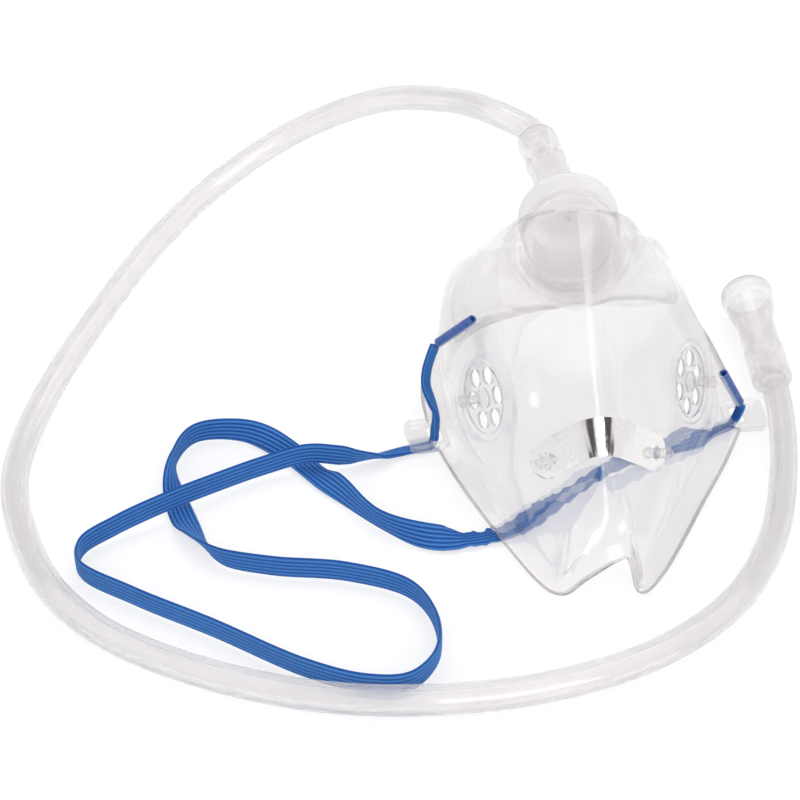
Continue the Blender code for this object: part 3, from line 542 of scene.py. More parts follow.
# a vent's station and share of the wall's height; a lug's x, y and turn in degrees
VENTS = {"left": (15.42, 0.335), "right": (4.95, 0.32)}
VENT_R = 10.6
VENT_PLATE = 1.3
VENT_BEAD = 0.35
VENT_FLAT_R = VENT_R + 3.4
VENT_BLEND_R = VENT_FLAT_R + 4.5
VENT_RECESS = (2.6, 8.9)  # inner and outer radius of the sunk ring that holds the holes
VENT_FLOOR = 0.05
VENT_PEG_R = 1.15
VENT_PEG_LENGTH = 6.5
VENT_HOLES = 6
VENT_HOLE_R = 2.25
VENT_HOLE_CIRCLE_R = 5.95
VENT_TURN = {"left": 10.0, "right": 20.0}
LUGS = {"left": (-40.5, -7.3, 12.0), "right": (42.1, 1.2, 4.0)}
LUG_HEIGHT = 4.2
LUG_SIZE, LUG_CORNER = (10.6, 12.0, 1.8), 2.5
SLOT_SIZE, SLOT_CORNER, SLOT_SHIFT = (3.8, 8.0, 7.2), 1.85, 1.9


def by_station(row, station):
    return catmull(np.array(row + row[-2:0:-1], float), station, closed=True)


def port_circle(angle):
    right = unit(np.cross(AXIS, (0.0, 0.0, 1.0)))
    up = np.cross(right, AXIS)
    angle = np.radians(angle)[..., None]
    return np.cos(angle) * up + np.sin(angle) * right


def crease_point(station):
    station = np.mod(station, len(RIM))
    rim = catmull(RIM, station, closed=True)
    ahead = catmull(RIM, np.mod(station + 0.01, len(RIM)), closed=True)
    behind = catmull(RIM, np.mod(station - 0.01, len(RIM)), closed=True)
    along = unit((ahead - behind)[..., :2])
    inward = np.stack([-along[..., 1], along[..., 0]], -1)
    width = by_station(FLANGE_WIDTH, station)[..., None]
    height = by_station(CREASE_HEIGHT, station)[..., None]
    return np.concatenate([rim[..., :2] + inward * width, height], -1)


def neck_points(station):
    signed = np.where(np.asarray(station) > len(RIM) / 2, -1.0, 1.0)
    out = port_circle(signed * np.abs(by_station(PORT_ANGLE, station)))
    collar = PORT_CENTRE + COLLAR_R * out
    back, outwards, loop = (by_station(row, station)[..., None] for row in (NECK_BACK, NECK_OUT, NECK_LOOP))
    return collar, collar - AXIS * back + out * outwards, loop * AXIS


def ridge_point(station):
    base = crease_point(np.arange(len(RIM)))
    half = len(RIDGE) // 2
    for step, point in zip(range(-half, half + 1), RIDGE):
        base[step] = point
    return catmull(base, np.mod(station, len(RIM)), closed=True)


def wall_point(station, share):
    taken = eased(np.clip(np.asarray(share) / RIDGE_RISE, 0, 1)[..., None])
    crease = crease_point(station) * (1 - taken) + ridge_point(station) * taken
    _, neck, _ = neck_points(station)
    target = neck.copy()
    target[..., 0] -= DOME_LEAN * neck[..., 2]
    power = 2 / catmull(BULGE, np.mod(station, len(RIM)), closed=True)
    quarter = np.asarray(share) * math.pi / 2
    inward_share = (1 - np.cos(quarter) ** power)[..., None]
    plan = crease[..., :2] + (target - crease)[..., :2] * inward_share
    height = crease[..., 2] + (target - crease)[..., 2] * np.sin(quarter) ** power
    return np.stack([plan[..., 0] + DOME_LEAN * height, plan[..., 1], height], -1)


def vent_plane(side):
    station, share = (np.array(value) for value in VENTS[side])
    step = 0.02
    centre = wall_point(station, share)
    round_wall = wall_point(station + step, share) - wall_point(station - step, share)
    up_wall = wall_point(station, share + step) - wall_point(station, share - step)
    return centre, unit(np.cross(round_wall, up_wall))


def flatten_at(points, centre, normal):
    offset = points - centre
    depth = offset @ normal
    away = np.linalg.norm(offset - depth[..., None] * normal, axis=-1)
    share = np.clip((VENT_BLEND_R - away) / (VENT_BLEND_R - VENT_FLAT_R), 0, 1)
    share = np.where(np.abs(depth) < VENT_FLAT_R, eased(share), 0)
    return points - (share * depth)[..., None] * normal


DENTS = (  # middle, way along it, half length, half width and depth of each small fold
    ((-5.1, -59.1, 7.0), (-1.8, -2.6, -4.2), 3.4, 1.0, 0.8),
    ((5.2, -54.6, 9.2), (1.4, -1.3, -1.4), 2.2, 0.8, 0.45),
    ((22.4, -27.2, 6.7), (-0.3, -3.9, -4.8), 4.2, 1.1, 0.9),
    ((-15.5, -36.5, 14.5), (5.0, -9.0, -6.0), 7.0, 1.6, 0.5),
)
DENT_AIM = (0.0, 0.0, 20.0)  # the point inside the dome that they are pressed towards
CHIN_WAVES = ((0.55, 0.42, 0.6), (0.4, 0.97, 2.0))
CHIN_FOLD_X, CHIN_FOLD_WIDTH, CHIN_FOLD_DEPTH = 6.5, 1.7, 2.6
CHIN_FROM, CHIN_FADE, CHIN_TOP = 44, 8, 12


def dented(points):
    """Small folds pressed into the soft wall."""
    for middle, along, length, width, depth in DENTS:
        way = unit(np.array(along))
        offset = points - np.array(middle)
        run = offset @ way
        aside = np.linalg.norm(offset - run[..., None] * way, axis=-1)
        press = depth * np.exp(-((run / length) ** 2) - (aside / width) ** 2)
        points = points + unit(np.array(DENT_AIM) - points) * press[..., None]
    return points


def uneven_chin(points):
    """The chin side of the flange lies in small waves, with one fold pressed in."""
    x, y, z = points[..., 0], points[..., 1], points[..., 2]
    near = np.clip((y - CHIN_FROM) / CHIN_FADE, 0, 1) * np.clip(1 - z / CHIN_TOP, 0, 1)
    fold = -CHIN_FOLD_DEPTH * np.exp(-(((x - CHIN_FOLD_X) / CHIN_FOLD_WIDTH) ** 2))
    lift = np.clip(0.5 * np.sin(x * 0.6), 0, 1)
    return np.stack([x, y + near * (waves(x, CHIN_WAVES) + fold), z + near * lift], -1)


def shell_rings():
    station = np.arange(len(RIM) * COLUMNS) / COLUMNS
    rim = catmull(RIM, station, closed=True)
    shares = np.linspace(0, 1, WALL_ROWS + 1)
    wall = [wall_point(station, np.full(len(station), share)) for share in shares]
    for side in VENTS:
        centre, normal = vent_plane(side)
        wall = [flatten_at(ring, centre, normal) for ring in wall]
    rings = [rim * (1 - f) + wall[0] * f for f in FLANGE_ROWS] + wall
    rings = [dented(uneven_chin(ring)) for ring in rings]
    collar, neck, loop = neck_points(station)
    for k in range(1, NECK_ROWS + 1):
        f = k / (NECK_ROWS + 1)
        rings.append(
            neck * (1 - f) ** 3
            + 3 * (neck - loop) * f * (1 - f) ** 2
            + 3 * (collar - loop * NECK_RETURN) * f**2 * (1 - f)
            + collar * f**3
        )
    return rings + [collar + AXIS * COLLAR_LENGTH * share for share in COLLAR_ROWS]


def grid_faces(rows, count):
    faces = []
    for row in range(rows - 1):
        for k in range(count):
            a, b = row * count + k, row * count + (k + 1) % count
            faces.append((a, b, b + count, a + count))
    return faces


def bar_faces(rows, count):
    """Faces of a closed bar: its rings of corners and its two ends."""
    return grid_faces(rows, count) + [tuple(range(count)), tuple(range((rows - 1) * count, rows * count))]


def vent_boss(side):
    centre, normal = vent_plane(side)
    half = VENT_PLATE / 2
    tip = half + VENT_PEG_LENGTH
    profile = [
        (0, -half), (VENT_R, -half), (VENT_R + VENT_BEAD, -half / 2), (VENT_R + VENT_BEAD, half),
        (VENT_R, half + VENT_BEAD), (VENT_R - VENT_BEAD, half), (2.05, half), (2.05, half + 0.5),
        (VENT_PEG_R, half + 0.9), (VENT_PEG_R, tip - 3.0), (1.5, tip - 2.6), (1.5, tip - 2.2),
        (VENT_PEG_R, tip - 1.9), (1.55, tip - 1.2), (1.55, tip - 0.5), (1.05, tip), (0, tip),
    ]
    return turned(f"vent_boss_{side}", rounded(profile, 0.12), centre, normal, 72)


def vent_holes(side):
    centre, normal = vent_plane(side)
    cutter = bmesh.new()
    for k in range(VENT_HOLES):
        turn = 2 * math.pi * k / VENT_HOLES + math.radians(VENT_TURN[side])
        there = Matrix.Translation(Vector((math.cos(turn), math.sin(turn), 0)) * VENT_HOLE_CIRCLE_R * MM)
        bmesh.ops.create_cone(
            cutter, cap_ends=True, segments=36, radius1=VENT_HOLE_R * MM, radius2=VENT_HOLE_R * MM,
            depth=4 * VENT_PLATE * MM, matrix=there,
        )
    mesh = bpy.data.meshes.new("vent_holes")
    cutter.to_mesh(mesh)
    cutter.free()
    holes = new_object(f"vent_holes_{side}", mesh)
    holes.matrix_world = frame_matrix(centre, normal)
    return holes


def vent_recess(side):
    centre, normal = vent_plane(side)
    inner, outer = VENT_RECESS
    profile = [(inner, VENT_FLOOR), (outer, VENT_FLOOR), (outer, 3), (inner, 3)]
    return turned(f"vent_recess_{side}", profile, centre, normal, 72)


def shade_cut_edge(tool):
    """Marks a cutter's faces so that the walls it leaves get the grey painted shade of a clear wall seen on
    end, and its ends the plain PVC.
    """
    for face in tool.data.polygons:
        face.material_index = int(abs(face.normal.z) < 0.5)
    tool.data.materials.append(PVC)
    tool.data.materials.append(PVC_EDGE_SHADE)
    return tool


def rounded_plate(name, size, corner, steps=12):
    width, length, thickness = size
    points = []
    for quarter in range(4):
        centre_x = (width / 2 - corner) * (1 if quarter in (0, 3) else -1)
        centre_y = (length / 2 - corner) * (1 if quarter in (0, 1) else -1)
        for k in range(steps + 1):
            turn = math.pi / 2 * (quarter + k / steps)
            points.append((centre_x + corner * math.cos(turn), centre_y + corner * math.sin(turn)))
    count = len(points)
    corners = [(x, y, z) for z in (-thickness / 2, thickness / 2) for x, y in points]
    faces = [tuple(range(count))[::-1], tuple(range(count, 2 * count)), *grid_faces(2, count)]
    return new_object(name, mesh_from(corners, faces, name, shift=False))


def lug_matrix(side, shift=0.0):
    x, y, turn = LUGS[side]
    inwards = -1 if x > 0 else 1
    return (
        Matrix.Translation(Vector(np.array((x, y, LUG_HEIGHT)) + SHIFT) * MM)
        @ Matrix.Rotation(math.radians(turn), 4, "Z")
        @ Matrix.Translation(Vector((inwards * shift, 0, 0)) * MM)
    )


# ---- nose clip: a bent strip that follows the ridge

CLIP_HEIGHT = 0.40
CLIP_REACH = {"left": 14.6, "right": 15.7}
CLIP_SPLAY = 0.55
CLIP_BEND_R = 3.0
CLIP_WIDTH = 9.0
CLIP_THICKNESS = 0.6
CLIP_LIFT = WALL / 2 + 0.8 + CLIP_THICKNESS / 2
CLIP_HOLE_R = 1.6
CLIP_WARP = ((0.05, 0.9, 0), (0.02, 2.3, 1))
PEG_INSET = 4.2
PEG_R = 1.25


def clip_path(tree, steps=28):
    ridge = wall_point(np.array(0.0), np.array(CLIP_HEIGHT))
    above = wall_point(np.array(0.0), np.array(CLIP_HEIGHT + 0.05))
    up_ridge = unit(above - ridge)
    outwards = unit(np.cross((1.0, 0.0, 0.0), up_ridge))
    across = np.cross(up_ridge, outwards)
    path, normals = [], []
    for k in range(steps + 1):
        share = k / steps
        reach = CLIP_REACH["right"] * share - CLIP_REACH["left"] * (1 - share)
        fall = CLIP_SPLAY * (math.hypot(reach, CLIP_BEND_R) - CLIP_BEND_R)
        start = ridge + across * reach - up_ridge * fall + outwards * 40
        hit, normal, _, _ = tree.ray_cast(Vector(start), Vector(-outwards))
        normal = np.array(normal)
        normals.append(normal if normal @ outwards > 0 else -normal)
        path.append(np.array(hit))
    normals = unit(smoothed(np.array(normals), 3))
    return smoothed(np.array(path), 2) + normals * CLIP_LIFT, normals


def read_at(distance, along, rows):
    return np.array([np.interp(distance, along, rows[:, k]) for k in range(rows.shape[1])])


def clip_pegs(path, normals):
    along = lengths_of(path)
    for name, distance in (("left", PEG_INSET), ("right", along[-1] - PEG_INSET)):
        normal = unit(read_at(distance, along, normals))
        yield name, read_at(distance, along, path) - normal * CLIP_LIFT, normal


def ragged_hole(turn):
    """The torn edge of the clip's left hole."""
    return 0.32 * math.cos(5 * turn) + 0.15


def nose_clip(path, normals):
    along = lengths_of(path)
    total = along[-1]
    round_r = CLIP_WIDTH / 2
    ends = round_r * (1 - np.cos(np.linspace(0.12, math.pi / 2, 12)))
    at = np.unique(np.concatenate([ends, total - ends, np.linspace(round_r, total - round_r, 90)]))
    tangents = smoothed(np.gradient(path, axis=0), 3)
    shares = np.linspace(-1, 1, 13)
    points, uv = [], []
    for distance in at:
        centre, normal = read_at(distance, along, path), read_at(distance, along, normals)
        tangent = read_at(distance, along, tangents)
        across = unit(np.cross(normal, tangent))
        normal = unit(np.cross(tangent, across))
        edge = min(distance, total - distance, round_r)
        half = math.sqrt(max(round_r**2 - (round_r - edge) ** 2, 0))
        warp = waves(distance, CLIP_WARP)
        for face in (-1, 1):
            for share in shares * face:
                lift = face * CLIP_THICKNESS / 2 * (1 - 0.25 * abs(share) ** 8) + warp * share * 0.6
                points.append(centre + across * half * share + normal * lift)
                uv.append((distance / 10, half * share / 10))
    mesh = mesh_from(points, bar_faces(len(at), 2 * len(shares)), "nose_clip_strip")
    add_uv(mesh, uv)
    mesh.set_sharp_from_angle(angle=math.radians(40))
    clip = new_object("nose_clip_strip", mesh, METAL)
    tools = []
    for name, foot, normal in clip_pegs(path, normals):
        cutter = turned(
            f"clip_hole_{name}", [(0, -3), (CLIP_HOLE_R, -3), (CLIP_HOLE_R, 3), (0, 3)],
            foot + normal * CLIP_LIFT, normal, 40, wobble=ragged_hole if name == "left" else None,
        )
        boolean(clip, cutter, "DIFFERENCE")
        tools.append(cutter)
    bake_modifiers(clip, tools)
    return clip


def paint_edge_shade(mesh, columns):
    """Gives the rim the second finish, a grey painted shade, and the chin's rim and crease the third, a
    near-black painted shade.
    """
    for face in mesh.polygons[:(CREASE_ROW + 1) * columns]:
        row, station = face.index // columns, face.index % columns / COLUMNS
        chin = CHIN[0] < station < CHIN[1]
        if row == 0 or (row == CREASE_ROW and chin):
            face.material_index = 2 if chin else 1


def mask_shell():
    rings = shell_rings()
    points = np.concatenate(rings)
    faces = grid_faces(len(rings), len(rings[0]))
    mesh = mesh_from(points, faces, "mask_moulding")
    tree = BVHTree.FromPolygons([tuple(p) for p in points], faces)
    shell = new_object("mask_moulding", mesh, PVC)
    mesh.materials.append(PVC_EDGE_SHADE)
    mesh.materials.append(PVC_CREASE_SHADE)
    paint_edge_shade(mesh, len(rings[0]))
    solid = shell.modifiers.new("wall", "SOLIDIFY")
    solid.thickness = WALL * MM
    solid.offset = 0
    tools = []

    def use(tool, operation):
        tools.append(tool)
        boolean(shell, tool, operation)

    for side in VENTS:
        use(vent_boss(side), "UNION")
    for side in LUGS:
        lug = rounded_plate(f"lug_{side}", LUG_SIZE, LUG_CORNER)
        lug.matrix_world = lug_matrix(side)
        use(lug, "UNION")
    path, normals = clip_path(tree)
    for name, foot, normal in clip_pegs(path, normals):
        profile = [
            (0, -0.4), (PEG_R, -0.4), (PEG_R, 4.2), (PEG_R + 0.3, 4.5), (PEG_R - 0.13, 5.7),
            (0.5, 6.4), (0, 6.4),
        ]
        use(turned(f"clip_peg_{name}", rounded(profile, 0.2), foot, normal, 40), "UNION")
    for side in VENTS:
        use(shade_cut_edge(vent_recess(side)), "DIFFERENCE")
        use(shade_cut_edge(vent_holes(side)), "DIFFERENCE")
    for side in LUGS:
        slot = rounded_plate(f"slot_{side}", SLOT_SIZE, SLOT_CORNER)
        slot.matrix_world = lug_matrix(side, SLOT_SHIFT)
        use(slot, "DIFFERENCE")
    bake_modifiers(shell, tools)
    shell.data.set_sharp_from_angle(angle=math.radians(38))
    return shell, path, normals


shell, clip_line, clip_normals = mask_shell()
clip = nose_clip(clip_line, clip_normals)
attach(shell, "root")
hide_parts("mask_shell")
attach(clip, "root")
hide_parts("nose_clip")

# ---- port connector and the two tube ends

CAP_R, CAP_WALL, CAP_LIP = 12.0, 1.5, 0.3
STEP = COLLAR_LENGTH + GAP
CAP_END = STEP + 9.0
NOZZLE_FOOT = CAP_END + 0.8
NOZZLE_TIP = NOZZLE_FOOT + 10.0
NOZZLE_BORE_R = 0.8
cap_profile = [
    (CONNECTOR_R - CAP_WALL, GAP), (CONNECTOR_R - 0.3, GAP), (CONNECTOR_R, GAP + 0.3), (CONNECTOR_R, STEP),
    (CAP_R - 0.3, STEP), (CAP_R, STEP + 0.3), (CAP_R, CAP_END - 1.6), (CAP_R + CAP_LIP, CAP_END - 1.3),
    (CAP_R + CAP_LIP, CAP_END - 0.4), (CAP_R, CAP_END), (4.4, CAP_END), (4.0, NOZZLE_FOOT),
    (3.2, NOZZLE_FOOT), (2.5, NOZZLE_TIP - 0.5), (2.1, NOZZLE_TIP), (NOZZLE_BORE_R, NOZZLE_TIP),
    (NOZZLE_BORE_R, CAP_END - CAP_WALL), (CONNECTOR_R - CAP_WALL, CAP_END - CAP_WALL),
]
cap = turned("port_cap", rounded(cap_profile), PORT_CENTRE, AXIS, 128, FROSTED)
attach(cap, "root")
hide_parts("port_connector")

SOCKET_MOUTH_R = 7.2
SOCKET_BODY_R = 5.3
MOUTH_BORE = SOCKET_MOUTH_R - 0.95
socket_profile = [
    (MOUTH_BORE, 0), (7.0, 0), (SOCKET_MOUTH_R, 0.3), (SOCKET_MOUTH_R, 1.4), (6.75, 3.4), (6.5, 7.0),
    (5.0, 13.0), (5.0, SOCKET_LENGTH - 14.0), (SOCKET_BODY_R, SOCKET_LENGTH - 12.5),
    (SOCKET_BODY_R, SOCKET_LENGTH - 0.5), (4.9, SOCKET_LENGTH),
    (2.1, SOCKET_LENGTH), (2.1, 26.0), (3.3, 24.0), (MOUTH_BORE - 0.6, 4.5), (MOUTH_BORE, 3.5),
]


def tube_end(name, mouth, along):
    return turned(name, rounded(socket_profile), mouth, along, 96, SOFT_END, sharp=60)


MASK_END_TURN = 8.0  # degrees that the tube's end leans to the left of the port's axis
mask_along = direction(-MASK_END_TURN, 1.0)
clear_of_cap = GAP + SOCKET_MOUTH_R * math.sin(math.radians(MASK_END_TURN))
mask_mouth = PORT_CENTRE + AXIS * CAP_END + AXIS * clear_of_cap
free_mouth = np.array((50.2, 51.6, SOCKET_MOUTH_R + GAP / 2))
free_end = np.array((51.7, 14.2, SOCKET_BODY_R + GAP / 2))
free_along = unit(free_end - free_mouth)
mask_end_piece = tube_end("tube_end_mask", mask_mouth, mask_along)
free_end_piece = tube_end("tube_end_free", free_mouth, free_along)
for piece, name in ((mask_end_piece, "mask_tube_socket"), (free_end_piece, "free_tube_socket")):
    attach(piece, "root")
    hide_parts(name)

# ---- oxygen tube: clear, with a ribbed bore

TUBE_R = 3.5
BORE_R, BORE_LOBE, BORE_LOBES = 2.35, 0.14, 5
TUBE_LEAD = 5.0
TUBE_STEP, TUBE_SIDES = 1.3, 40
TUBE_ROUTE = (
    (-24.5, 66.0, 58.5), (-34.0, 75.5, 56.0), (-53.0, 86.5, 50.0), (-76.0, 88.0, 40.0),
    (-98.0, 78.0, 29.5), (-115.5, 60.0, 20.5), (-128.5, 37.0, 13.0), (-139.0, 11.5, 7.0),
    (-143.8, -12.0, 4.0), (-143.5, -26.0, 3.6), (-140.0, -39.5, 3.5), (-130.0, -61.0, 3.5),
    (-115.5, -76.5, 3.5), (-93.5, -88.5, 3.5), (-67.0, -96.2, 3.5), (-41.0, -97.6, 3.5),
    (-14.5, -93.6, 3.5), (10.5, -83.4, 3.5), (29.5, -67.5, 3.5), (42.0, -46.0, 3.5),
    (49.0, -20.5, 3.6), (51.5, -2.0, 4.4),
)


def sweep_frames(points):
    """Two directions across a path, turned as little as possible along it."""
    tangent = unit(np.gradient(points, axis=0))
    side = np.zeros_like(points)
    side[0] = unit(np.cross(tangent[0], (0, 0, 1.0)))
    for k in range(1, len(points)):
        side[k] = unit(side[k - 1] - tangent[k] * (side[k - 1] @ tangent[k]))
    return side, np.cross(tangent, side)


def oxygen_tube(start, start_along, end, end_along):
    route = [start + start_along * GAP, start + start_along * TUBE_LEAD, *map(np.array, TUBE_ROUTE)]
    route += [end + end_along * TUBE_LEAD, end + end_along * GAP]
    points, _ = points_along(route, TUBE_STEP)
    side, up = (rows[:, None] for rows in sweep_frames(points))
    turns = np.linspace(0, 2 * math.pi, TUBE_SIDES, endpoint=False)
    out = np.cos(turns)[None, :, None] * side + np.sin(turns)[None, :, None] * up
    bore = BORE_R + BORE_LOBE * np.cos(BORE_LOBES * turns)
    rings = [points[:, None] + radius * out for radius in (TUBE_R, bore[None, :, None])]
    count, rows = len(turns), len(points)
    vertices = np.concatenate([ring.reshape(-1, 3) for ring in rings])
    faces = grid_faces(rows, count)
    inner = rows * count
    faces += [tuple(inner + i for i in face[::-1]) for face in faces]
    for row in (0, rows - 1):
        for k in range(count):
            a, b = row * count + k, row * count + (k + 1) % count
            faces.append((a, b, inner + b, inner + a))
    tube = new_object("supply_tube", mesh_from(vertices, faces, "supply_tube"), TUBING)
    return tube, points


tube, tube_points = oxygen_tube(
    mask_mouth + mask_along * SOCKET_LENGTH, mask_along, free_mouth + free_along * SOCKET_LENGTH, free_along,
)
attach(tube, "root")
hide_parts("oxygen_tube")

# ---- elastic strap and its rolled tips

STRAP_ROUTE = (  # points, each with how far the strap is turned on its edge
    (-38.9, -8.3, 33.6, 1.0), (-40.1, -9.0, 30.0, 1.0), (-40.9, -9.2, 26.2, 1.0), (-41.0, -9.6, 22.2, 0.9),
    (-39.8, -9.8, 17.8, 0.6), (-38.5, -9.4, 13.4, 0.2), (-38.4, -8.6, 9.2, 0.1), (-38.6, -7.6, 6.0, 0.0),
    (-38.7, -7.2, 3.2, 0.0), (-39.6, -7.8, 1.4, 0.0), (-43.0, -8.9, 0.9, 0.0), (-47.0, -10.2, 0.9, 0.0),
    (-55.6, -14.5, 2.6, 0.6), (-62.5, -15.4, 4.2, 1.0), (-71.0, -16.4, 5.6, 1.0), (-82.0, -19.5, 4.2, 1.0),
    (-94.0, -26.6, 4.4, 1.0), (-105.5, -35.4, 5.6, 1.0), (-116.5, -42.0, 4.2, 1.0), (-123.6, -48.5, 3.5, 1.0),
    (-123.0, -56.0, 3.5, 1.0), (-109.4, -65.2, 3.5, 1.0), (-90.0, -75.6, 3.5, 1.0), (-68.0, -88.2, 3.5, 1.0),
    (-54.5, -92.7, 3.5, 1.0), (-45.2, -92.0, 3.5, 1.0), (-39.3, -84.4, 3.5, 1.0), (-39.2, -73.6, 3.5, 1.0),
    (-45.0, -63.2, 3.5, 1.0), (-60.0, -57.2, 3.5, 1.0), (-78.0, -55.2, 3.5, 1.0), (-90.5, -51.8, 3.5, 0.9),
    (-96.2, -45.2, 2.6, 0.5), (-100.8, -35.4, 0.8, 0.0), (-104.0, -26.0, 2.0, 0.4), (-104.8, -15.4, 3.5, 1.0),
    (-100.2, -5.6, 3.5, 1.0), (-88.0, -4.5, 3.0, 0.8), (-76.0, -11.0, 1.2, 0.2), (-69.0, -18.5, 0.8, 0.0),
    (-62.5, -27.0, 2.4, 0.6), (-52.0, -39.0, 3.5, 1.0), (-41.0, -44.5, 2.6, 0.6), (-30.0, -43.0, 0.9, 0.0),
    (-21.0, -40.0, 0.9, 0.0), (-8.0, -31.5, 3.5, 0.9), (6.0, -18.5, 3.5, 1.0), (21.0, -10.2, 3.0, 0.8),
    (33.0, -3.0, 0.9, 0.0), (38.6, 0.1, 1.2, 0.0), (40.1, 0.9, 3.4, 0.0), (40.7, 0.7, 5.8, 0.0),
    (40.8, 0.1, 8.2, 0.2),
)
STRAP_WIDTH, STRAP_THICKNESS = 6.4, 1.1
BUNCHED_WIDTH, BUNCHED_THICKNESS = 2.8, 1.7
STRAP_BUNCH = {"left": 44.0, "right": 12.0}  # length at each end that is gathered to a narrow band
STRAP_FEED = 8.0
STRAP_STEEP = 0.6  # where less of its direction is level, its side follows its neighbours
STRAP_STEP = 0.9
STRAP_POINTS = 37  # across its width
RIB_SIZE = 0.17
CRUMPLED_X, CRUMPLED_Y, CRUMPLED_TOP = (-37, 26), (-45, 0), 8  # where it lies inside the mask
CRUMPLED_FADE = 5
RUFFLE = ((0.25, 1.05, 0), (0.15, 2.1, 1))
UPPER_EDGE, UPPER_TUCK = ((0.10, 1.4, 0), (0.07, 3.3, 2)), 0.30
LOWER_EDGE, LOWER_TUCK = ((0.06, 1.1, 2), (0.04, 2.7, 0)), 0.12
TIP_R, TIP_LENGTH, TIP_BORE_R = 1.25, 13.3, 0.75
TIP_WAY = {"left": (9.4, -4.25, 11.1), "right": (-5.4, -2.6, 10.6)}
TIP_CLEARANCE = 1.3
TIP_BORE_DEPTH = 4


def strap_sections(step):
    rows, at = points_along(STRAP_ROUTE, step)
    centres = rows[:, :3]
    edge = np.clip(rows[:, 3], 0, 1)
    tangent = unit(np.gradient(centres, at, axis=0))
    level = np.linalg.norm(tangent[:, :2], axis=1) > STRAP_STEEP
    plan = [np.interp(at, at[level], tangent[level, k]) for k in (0, 1)]
    side = np.stack([-plan[1], plan[0], np.zeros(len(at))], -1)
    side = unit(side - tangent * np.sum(side * tangent, axis=1, keepdims=True))
    angle = edge[:, None] * math.pi / 2
    wide = side * np.cos(angle) + np.cross(tangent, side) * np.sin(angle)
    from_left = np.clip((at - STRAP_BUNCH["left"]) / STRAP_FEED, 0, 1)
    from_right = np.clip((at[-1] - STRAP_BUNCH["right"] - at) / STRAP_FEED, 0, 1)
    full = eased(np.minimum(from_left, from_right))
    width = BUNCHED_WIDTH + (STRAP_WIDTH - BUNCHED_WIDTH) * full
    thickness = BUNCHED_THICKNESS + (STRAP_THICKNESS - BUNCHED_THICKNESS) * full
    rise = np.minimum(np.abs(wide[:, 2]), 1)
    reach = rise * width / 2 + np.sqrt(1 - rise**2) * thickness / 2
    centres[:, 2] = np.maximum(centres[:, 2], reach + GAP)
    return centres, tangent, wide, width, thickness, at


def elastic_strap():
    centres, tangent, wide, width, thickness, at = strap_sections(STRAP_STEP)
    thick = np.cross(tangent, wide)
    across = np.linspace(-0.5, 0.5, STRAP_POINTS)
    crown = (1 - np.abs(across * 2) ** 6) * 0.5
    ribs = RIB_SIZE * np.cos(across * 2 * math.pi * STRAP_RIBS) / STRAP_THICKNESS
    ribs *= 1 - np.abs(across * 2) ** 8
    upper_half = list(zip(across, crown * 0.86 + ribs * 0.5))
    section = upper_half + [(a, -c) for a, c in upper_half[-2:0:-1]]
    x, y, z = centres.T
    crumpled = np.clip((x - CRUMPLED_X[0]) / CRUMPLED_FADE, 0, 1)
    crumpled *= np.clip((CRUMPLED_X[1] - x) / CRUMPLED_FADE, 0, 1)
    crumpled *= (y > CRUMPLED_Y[0]) & (y < CRUMPLED_Y[1]) & (z < CRUMPLED_TOP)
    ruffle = crumpled * waves(at, RUFFLE)
    upper = 1 + crumpled * (waves(at, UPPER_EDGE) - UPPER_TUCK)
    lower = 1 + crumpled * (waves(at, LOWER_EDGE) - LOWER_TUCK)
    points, uv = [], []
    for k in range(len(centres)):
        for a, c in section:
            reach = a * width[k] * (upper[k] if a > 0 else lower[k])
            lift = c * thickness[k] + ruffle[k] * 4 * a * a
            points.append(centres[k] + wide[k] * reach + thick[k] * lift)
            uv.append((at[k], a + 0.5))
    mesh = mesh_from(points, bar_faces(len(centres), len(section)), "head_strap")
    add_uv(mesh, uv)
    return new_object("head_strap", mesh, ELASTIC), centres


strap, strap_centres = elastic_strap()
for side in ("left", "right"):
    along = unit(np.array(TIP_WAY[side]))
    start = strap_centres[0] if side == "left" else strap_centres[-1]
    bore_end = TIP_LENGTH - TIP_BORE_DEPTH
    profile = [
        (0, 0), (TIP_R, 0), (TIP_R, TIP_LENGTH), (TIP_BORE_R, TIP_LENGTH),
        (TIP_BORE_R, bore_end), (0, bore_end),
    ]
    foot = start + along * TIP_CLEARANCE
    tip = turned(f"strap_tip_{side}_film", rounded(profile, 0.15), foot, along, 40, FILM)
    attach(tip, "root")
    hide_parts(f"strap_tip_{side}")
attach(strap, "root")
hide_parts("elastic_strap")

# ---- floor, light and world

PAPER_BOUNCED, PAPER_SEEN, PAPER_GLOW = 0.86, 0.38, 0.66
FLOOR_HALF, FLOOR_TOP = 6.0, -0.0003


def floor_finish():
    """White paper that keeps soft shadows.

    Its own glow is seen only directly, mirrored or through plastic.
    """
    made, tree, shader = shader_of("white_paper")
    output = tree.nodes["Material Output"]
    tree.nodes.remove(shader)
    bounced = node(tree, "ShaderNodeBsdfDiffuse", Color=grey(PAPER_BOUNCED)).outputs[0]
    seen = node(tree, "ShaderNodeBsdfDiffuse", Color=grey(PAPER_SEEN)).outputs[0]
    glow = node(tree, "ShaderNodeEmission", Strength=PAPER_GLOW).outputs[0]
    both, mix = node(tree, "ShaderNodeAddShader"), node(tree, "ShaderNodeMixShader")
    for sources, target in (
        ((seen, glow), both), ((direct_look(tree), bounced, both.outputs[0]), mix), (mix.outputs, output),
    ):
        for source, socket in zip(sources, target.inputs):
            tree.links.new(source, socket)
    return made


def direct_look(tree):
    """1 for what the camera sees directly, in a mirror or through clear plastic."""
    rays = node(tree, "ShaderNodeLightPath").outputs
    unbounced = math_node(tree, "MAXIMUM", rays["Is Camera Ray"], rays["Is Glossy Ray"])
    return math_node(tree, "MAXIMUM", unbounced, rays["Is Transmission Ray"])


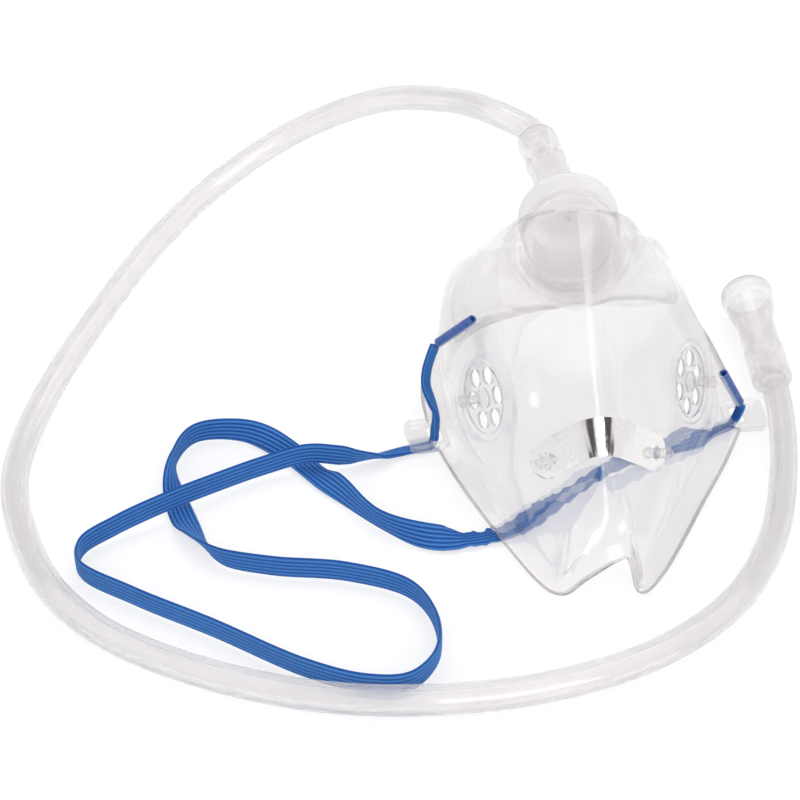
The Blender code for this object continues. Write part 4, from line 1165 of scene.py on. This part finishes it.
floor_corners = [(x * FLOOR_HALF, y * FLOOR_HALF, FLOOR_TOP) for x, y in ((-1, -1), (1, -1), (1, 1), (-1, 1))]
floor_mesh = bpy.data.meshes.new("floor")
floor_mesh.from_pydata(floor_corners, [], [(0, 1, 2, 3)])
floor = new_object("floor", floor_mesh, floor_finish())

world = bpy.data.worlds.new("studio")
bpy.context.scene.world = world
world.use_nodes = True

BOX, FILL = 9.0, 0.68  # strength of the soft box, seen by gloss alone, and of the world's own light
PALE, DARK = (0.93, 0.92, 0.925, 1), (0.10, 0.09, 0.08, 1)
WALL_TONES = (
    (0.0, (0.95, 0.94, 0.945)), (0.22, (0.93, 0.92, 0.925)),
    (0.5, (0.60, 0.59, 0.595)), (0.9, (0.80, 0.80, 0.80)),
)


def band(tree, value, low, high, soft):
    """1 between two values of a direction's measure, fading to 0 outside them."""
    rise = spread(tree, value, 0.0, 1.0, low - soft, low)
    fall = spread(tree, value, 1.0, 0.0, high, high + soft)
    return math_node(tree, "MULTIPLY", rise, fall)


def studio(tree):
    """What gloss mirrors: pale walls, and behind the camera a soft box between dark curtains.

    A panel's sides are in degrees round from the camera's side, its heights in the direction's Z.
    """
    way = parts_of(tree, node(tree, "ShaderNodeTexCoord").outputs["Generated"])
    walls = ramp(tree, way["Z"], WALL_TONES)
    turn = math_node(tree, "ARCTAN2", way["X"], math_node(tree, "MULTIPLY", way["Y"], -1.0))

    def panel(left, right, low, high, side_fade, end_fade):
        wide = band(tree, turn, math.radians(left), math.radians(right), side_fade)
        return math_node(tree, "MULTIPLY", wide, band(tree, way["Z"], low, high, end_fade))

    hung = mixed(tree, panel(-37, 74, 0.28, 0.80, 0.04, 0.05), walls, DARK)
    gap = band(tree, turn, math.radians(-17), math.radians(8), 0.03)
    box = panel(8, 42, 0.30, 0.74, 0.03, 0.03)
    return mixed(tree, box, mixed(tree, gap, hung, PALE), grey(BOX))


tree = world.node_tree
background = tree.nodes["Background"]
rays = node(tree, "ShaderNodeLightPath").outputs
gloss = math_node(tree, "SUBTRACT", rays["Is Glossy Ray"], rays["Is Transmission Ray"])
seen = math_node(tree, "MAXIMUM", rays["Is Camera Ray"], rays["Is Transmission Ray"])
plain = mixed(tree, seen, grey(FILL), grey(1.0))
surroundings = mixed(tree, math_node(tree, "MAXIMUM", gloss, 0.0), plain, studio(tree))
tree.links.new(surroundings, background.inputs["Color"])
background.inputs["Strength"].default_value = 1.0


def area_light(name, at, aim, size_x, size_y, power):
    """A lamp of a size in metres and a power in watts, turned towards a point."""
    data = bpy.data.lights.new(name, "AREA")
    data.shape = "RECTANGLE"
    data.size, data.size_y = size_x, size_y
    data.energy = power
    lamp = new_object(name, data)
    lamp.location = at
    lamp.rotation_euler = (Vector(aim) - Vector(at)).to_track_quat("-Z", "Y").to_euler()
    return lamp


area_light("soft_top", (0.0, 0.25, 0.9), (0, 0, 0), 0.7, 0.5, 2.2)
area_light("strip_left", (-0.9, -0.2, 0.7), (0, 0, 0.02), 0.25, 0.9, 1.0)
front = area_light("soft_front", (0.21, -0.84, 0.5), (0, 0, 0.03), 0.5, 0.4, 2.4)
front.visible_glossy = False

bpy.context.scene.view_settings.view_transform = "Standard"
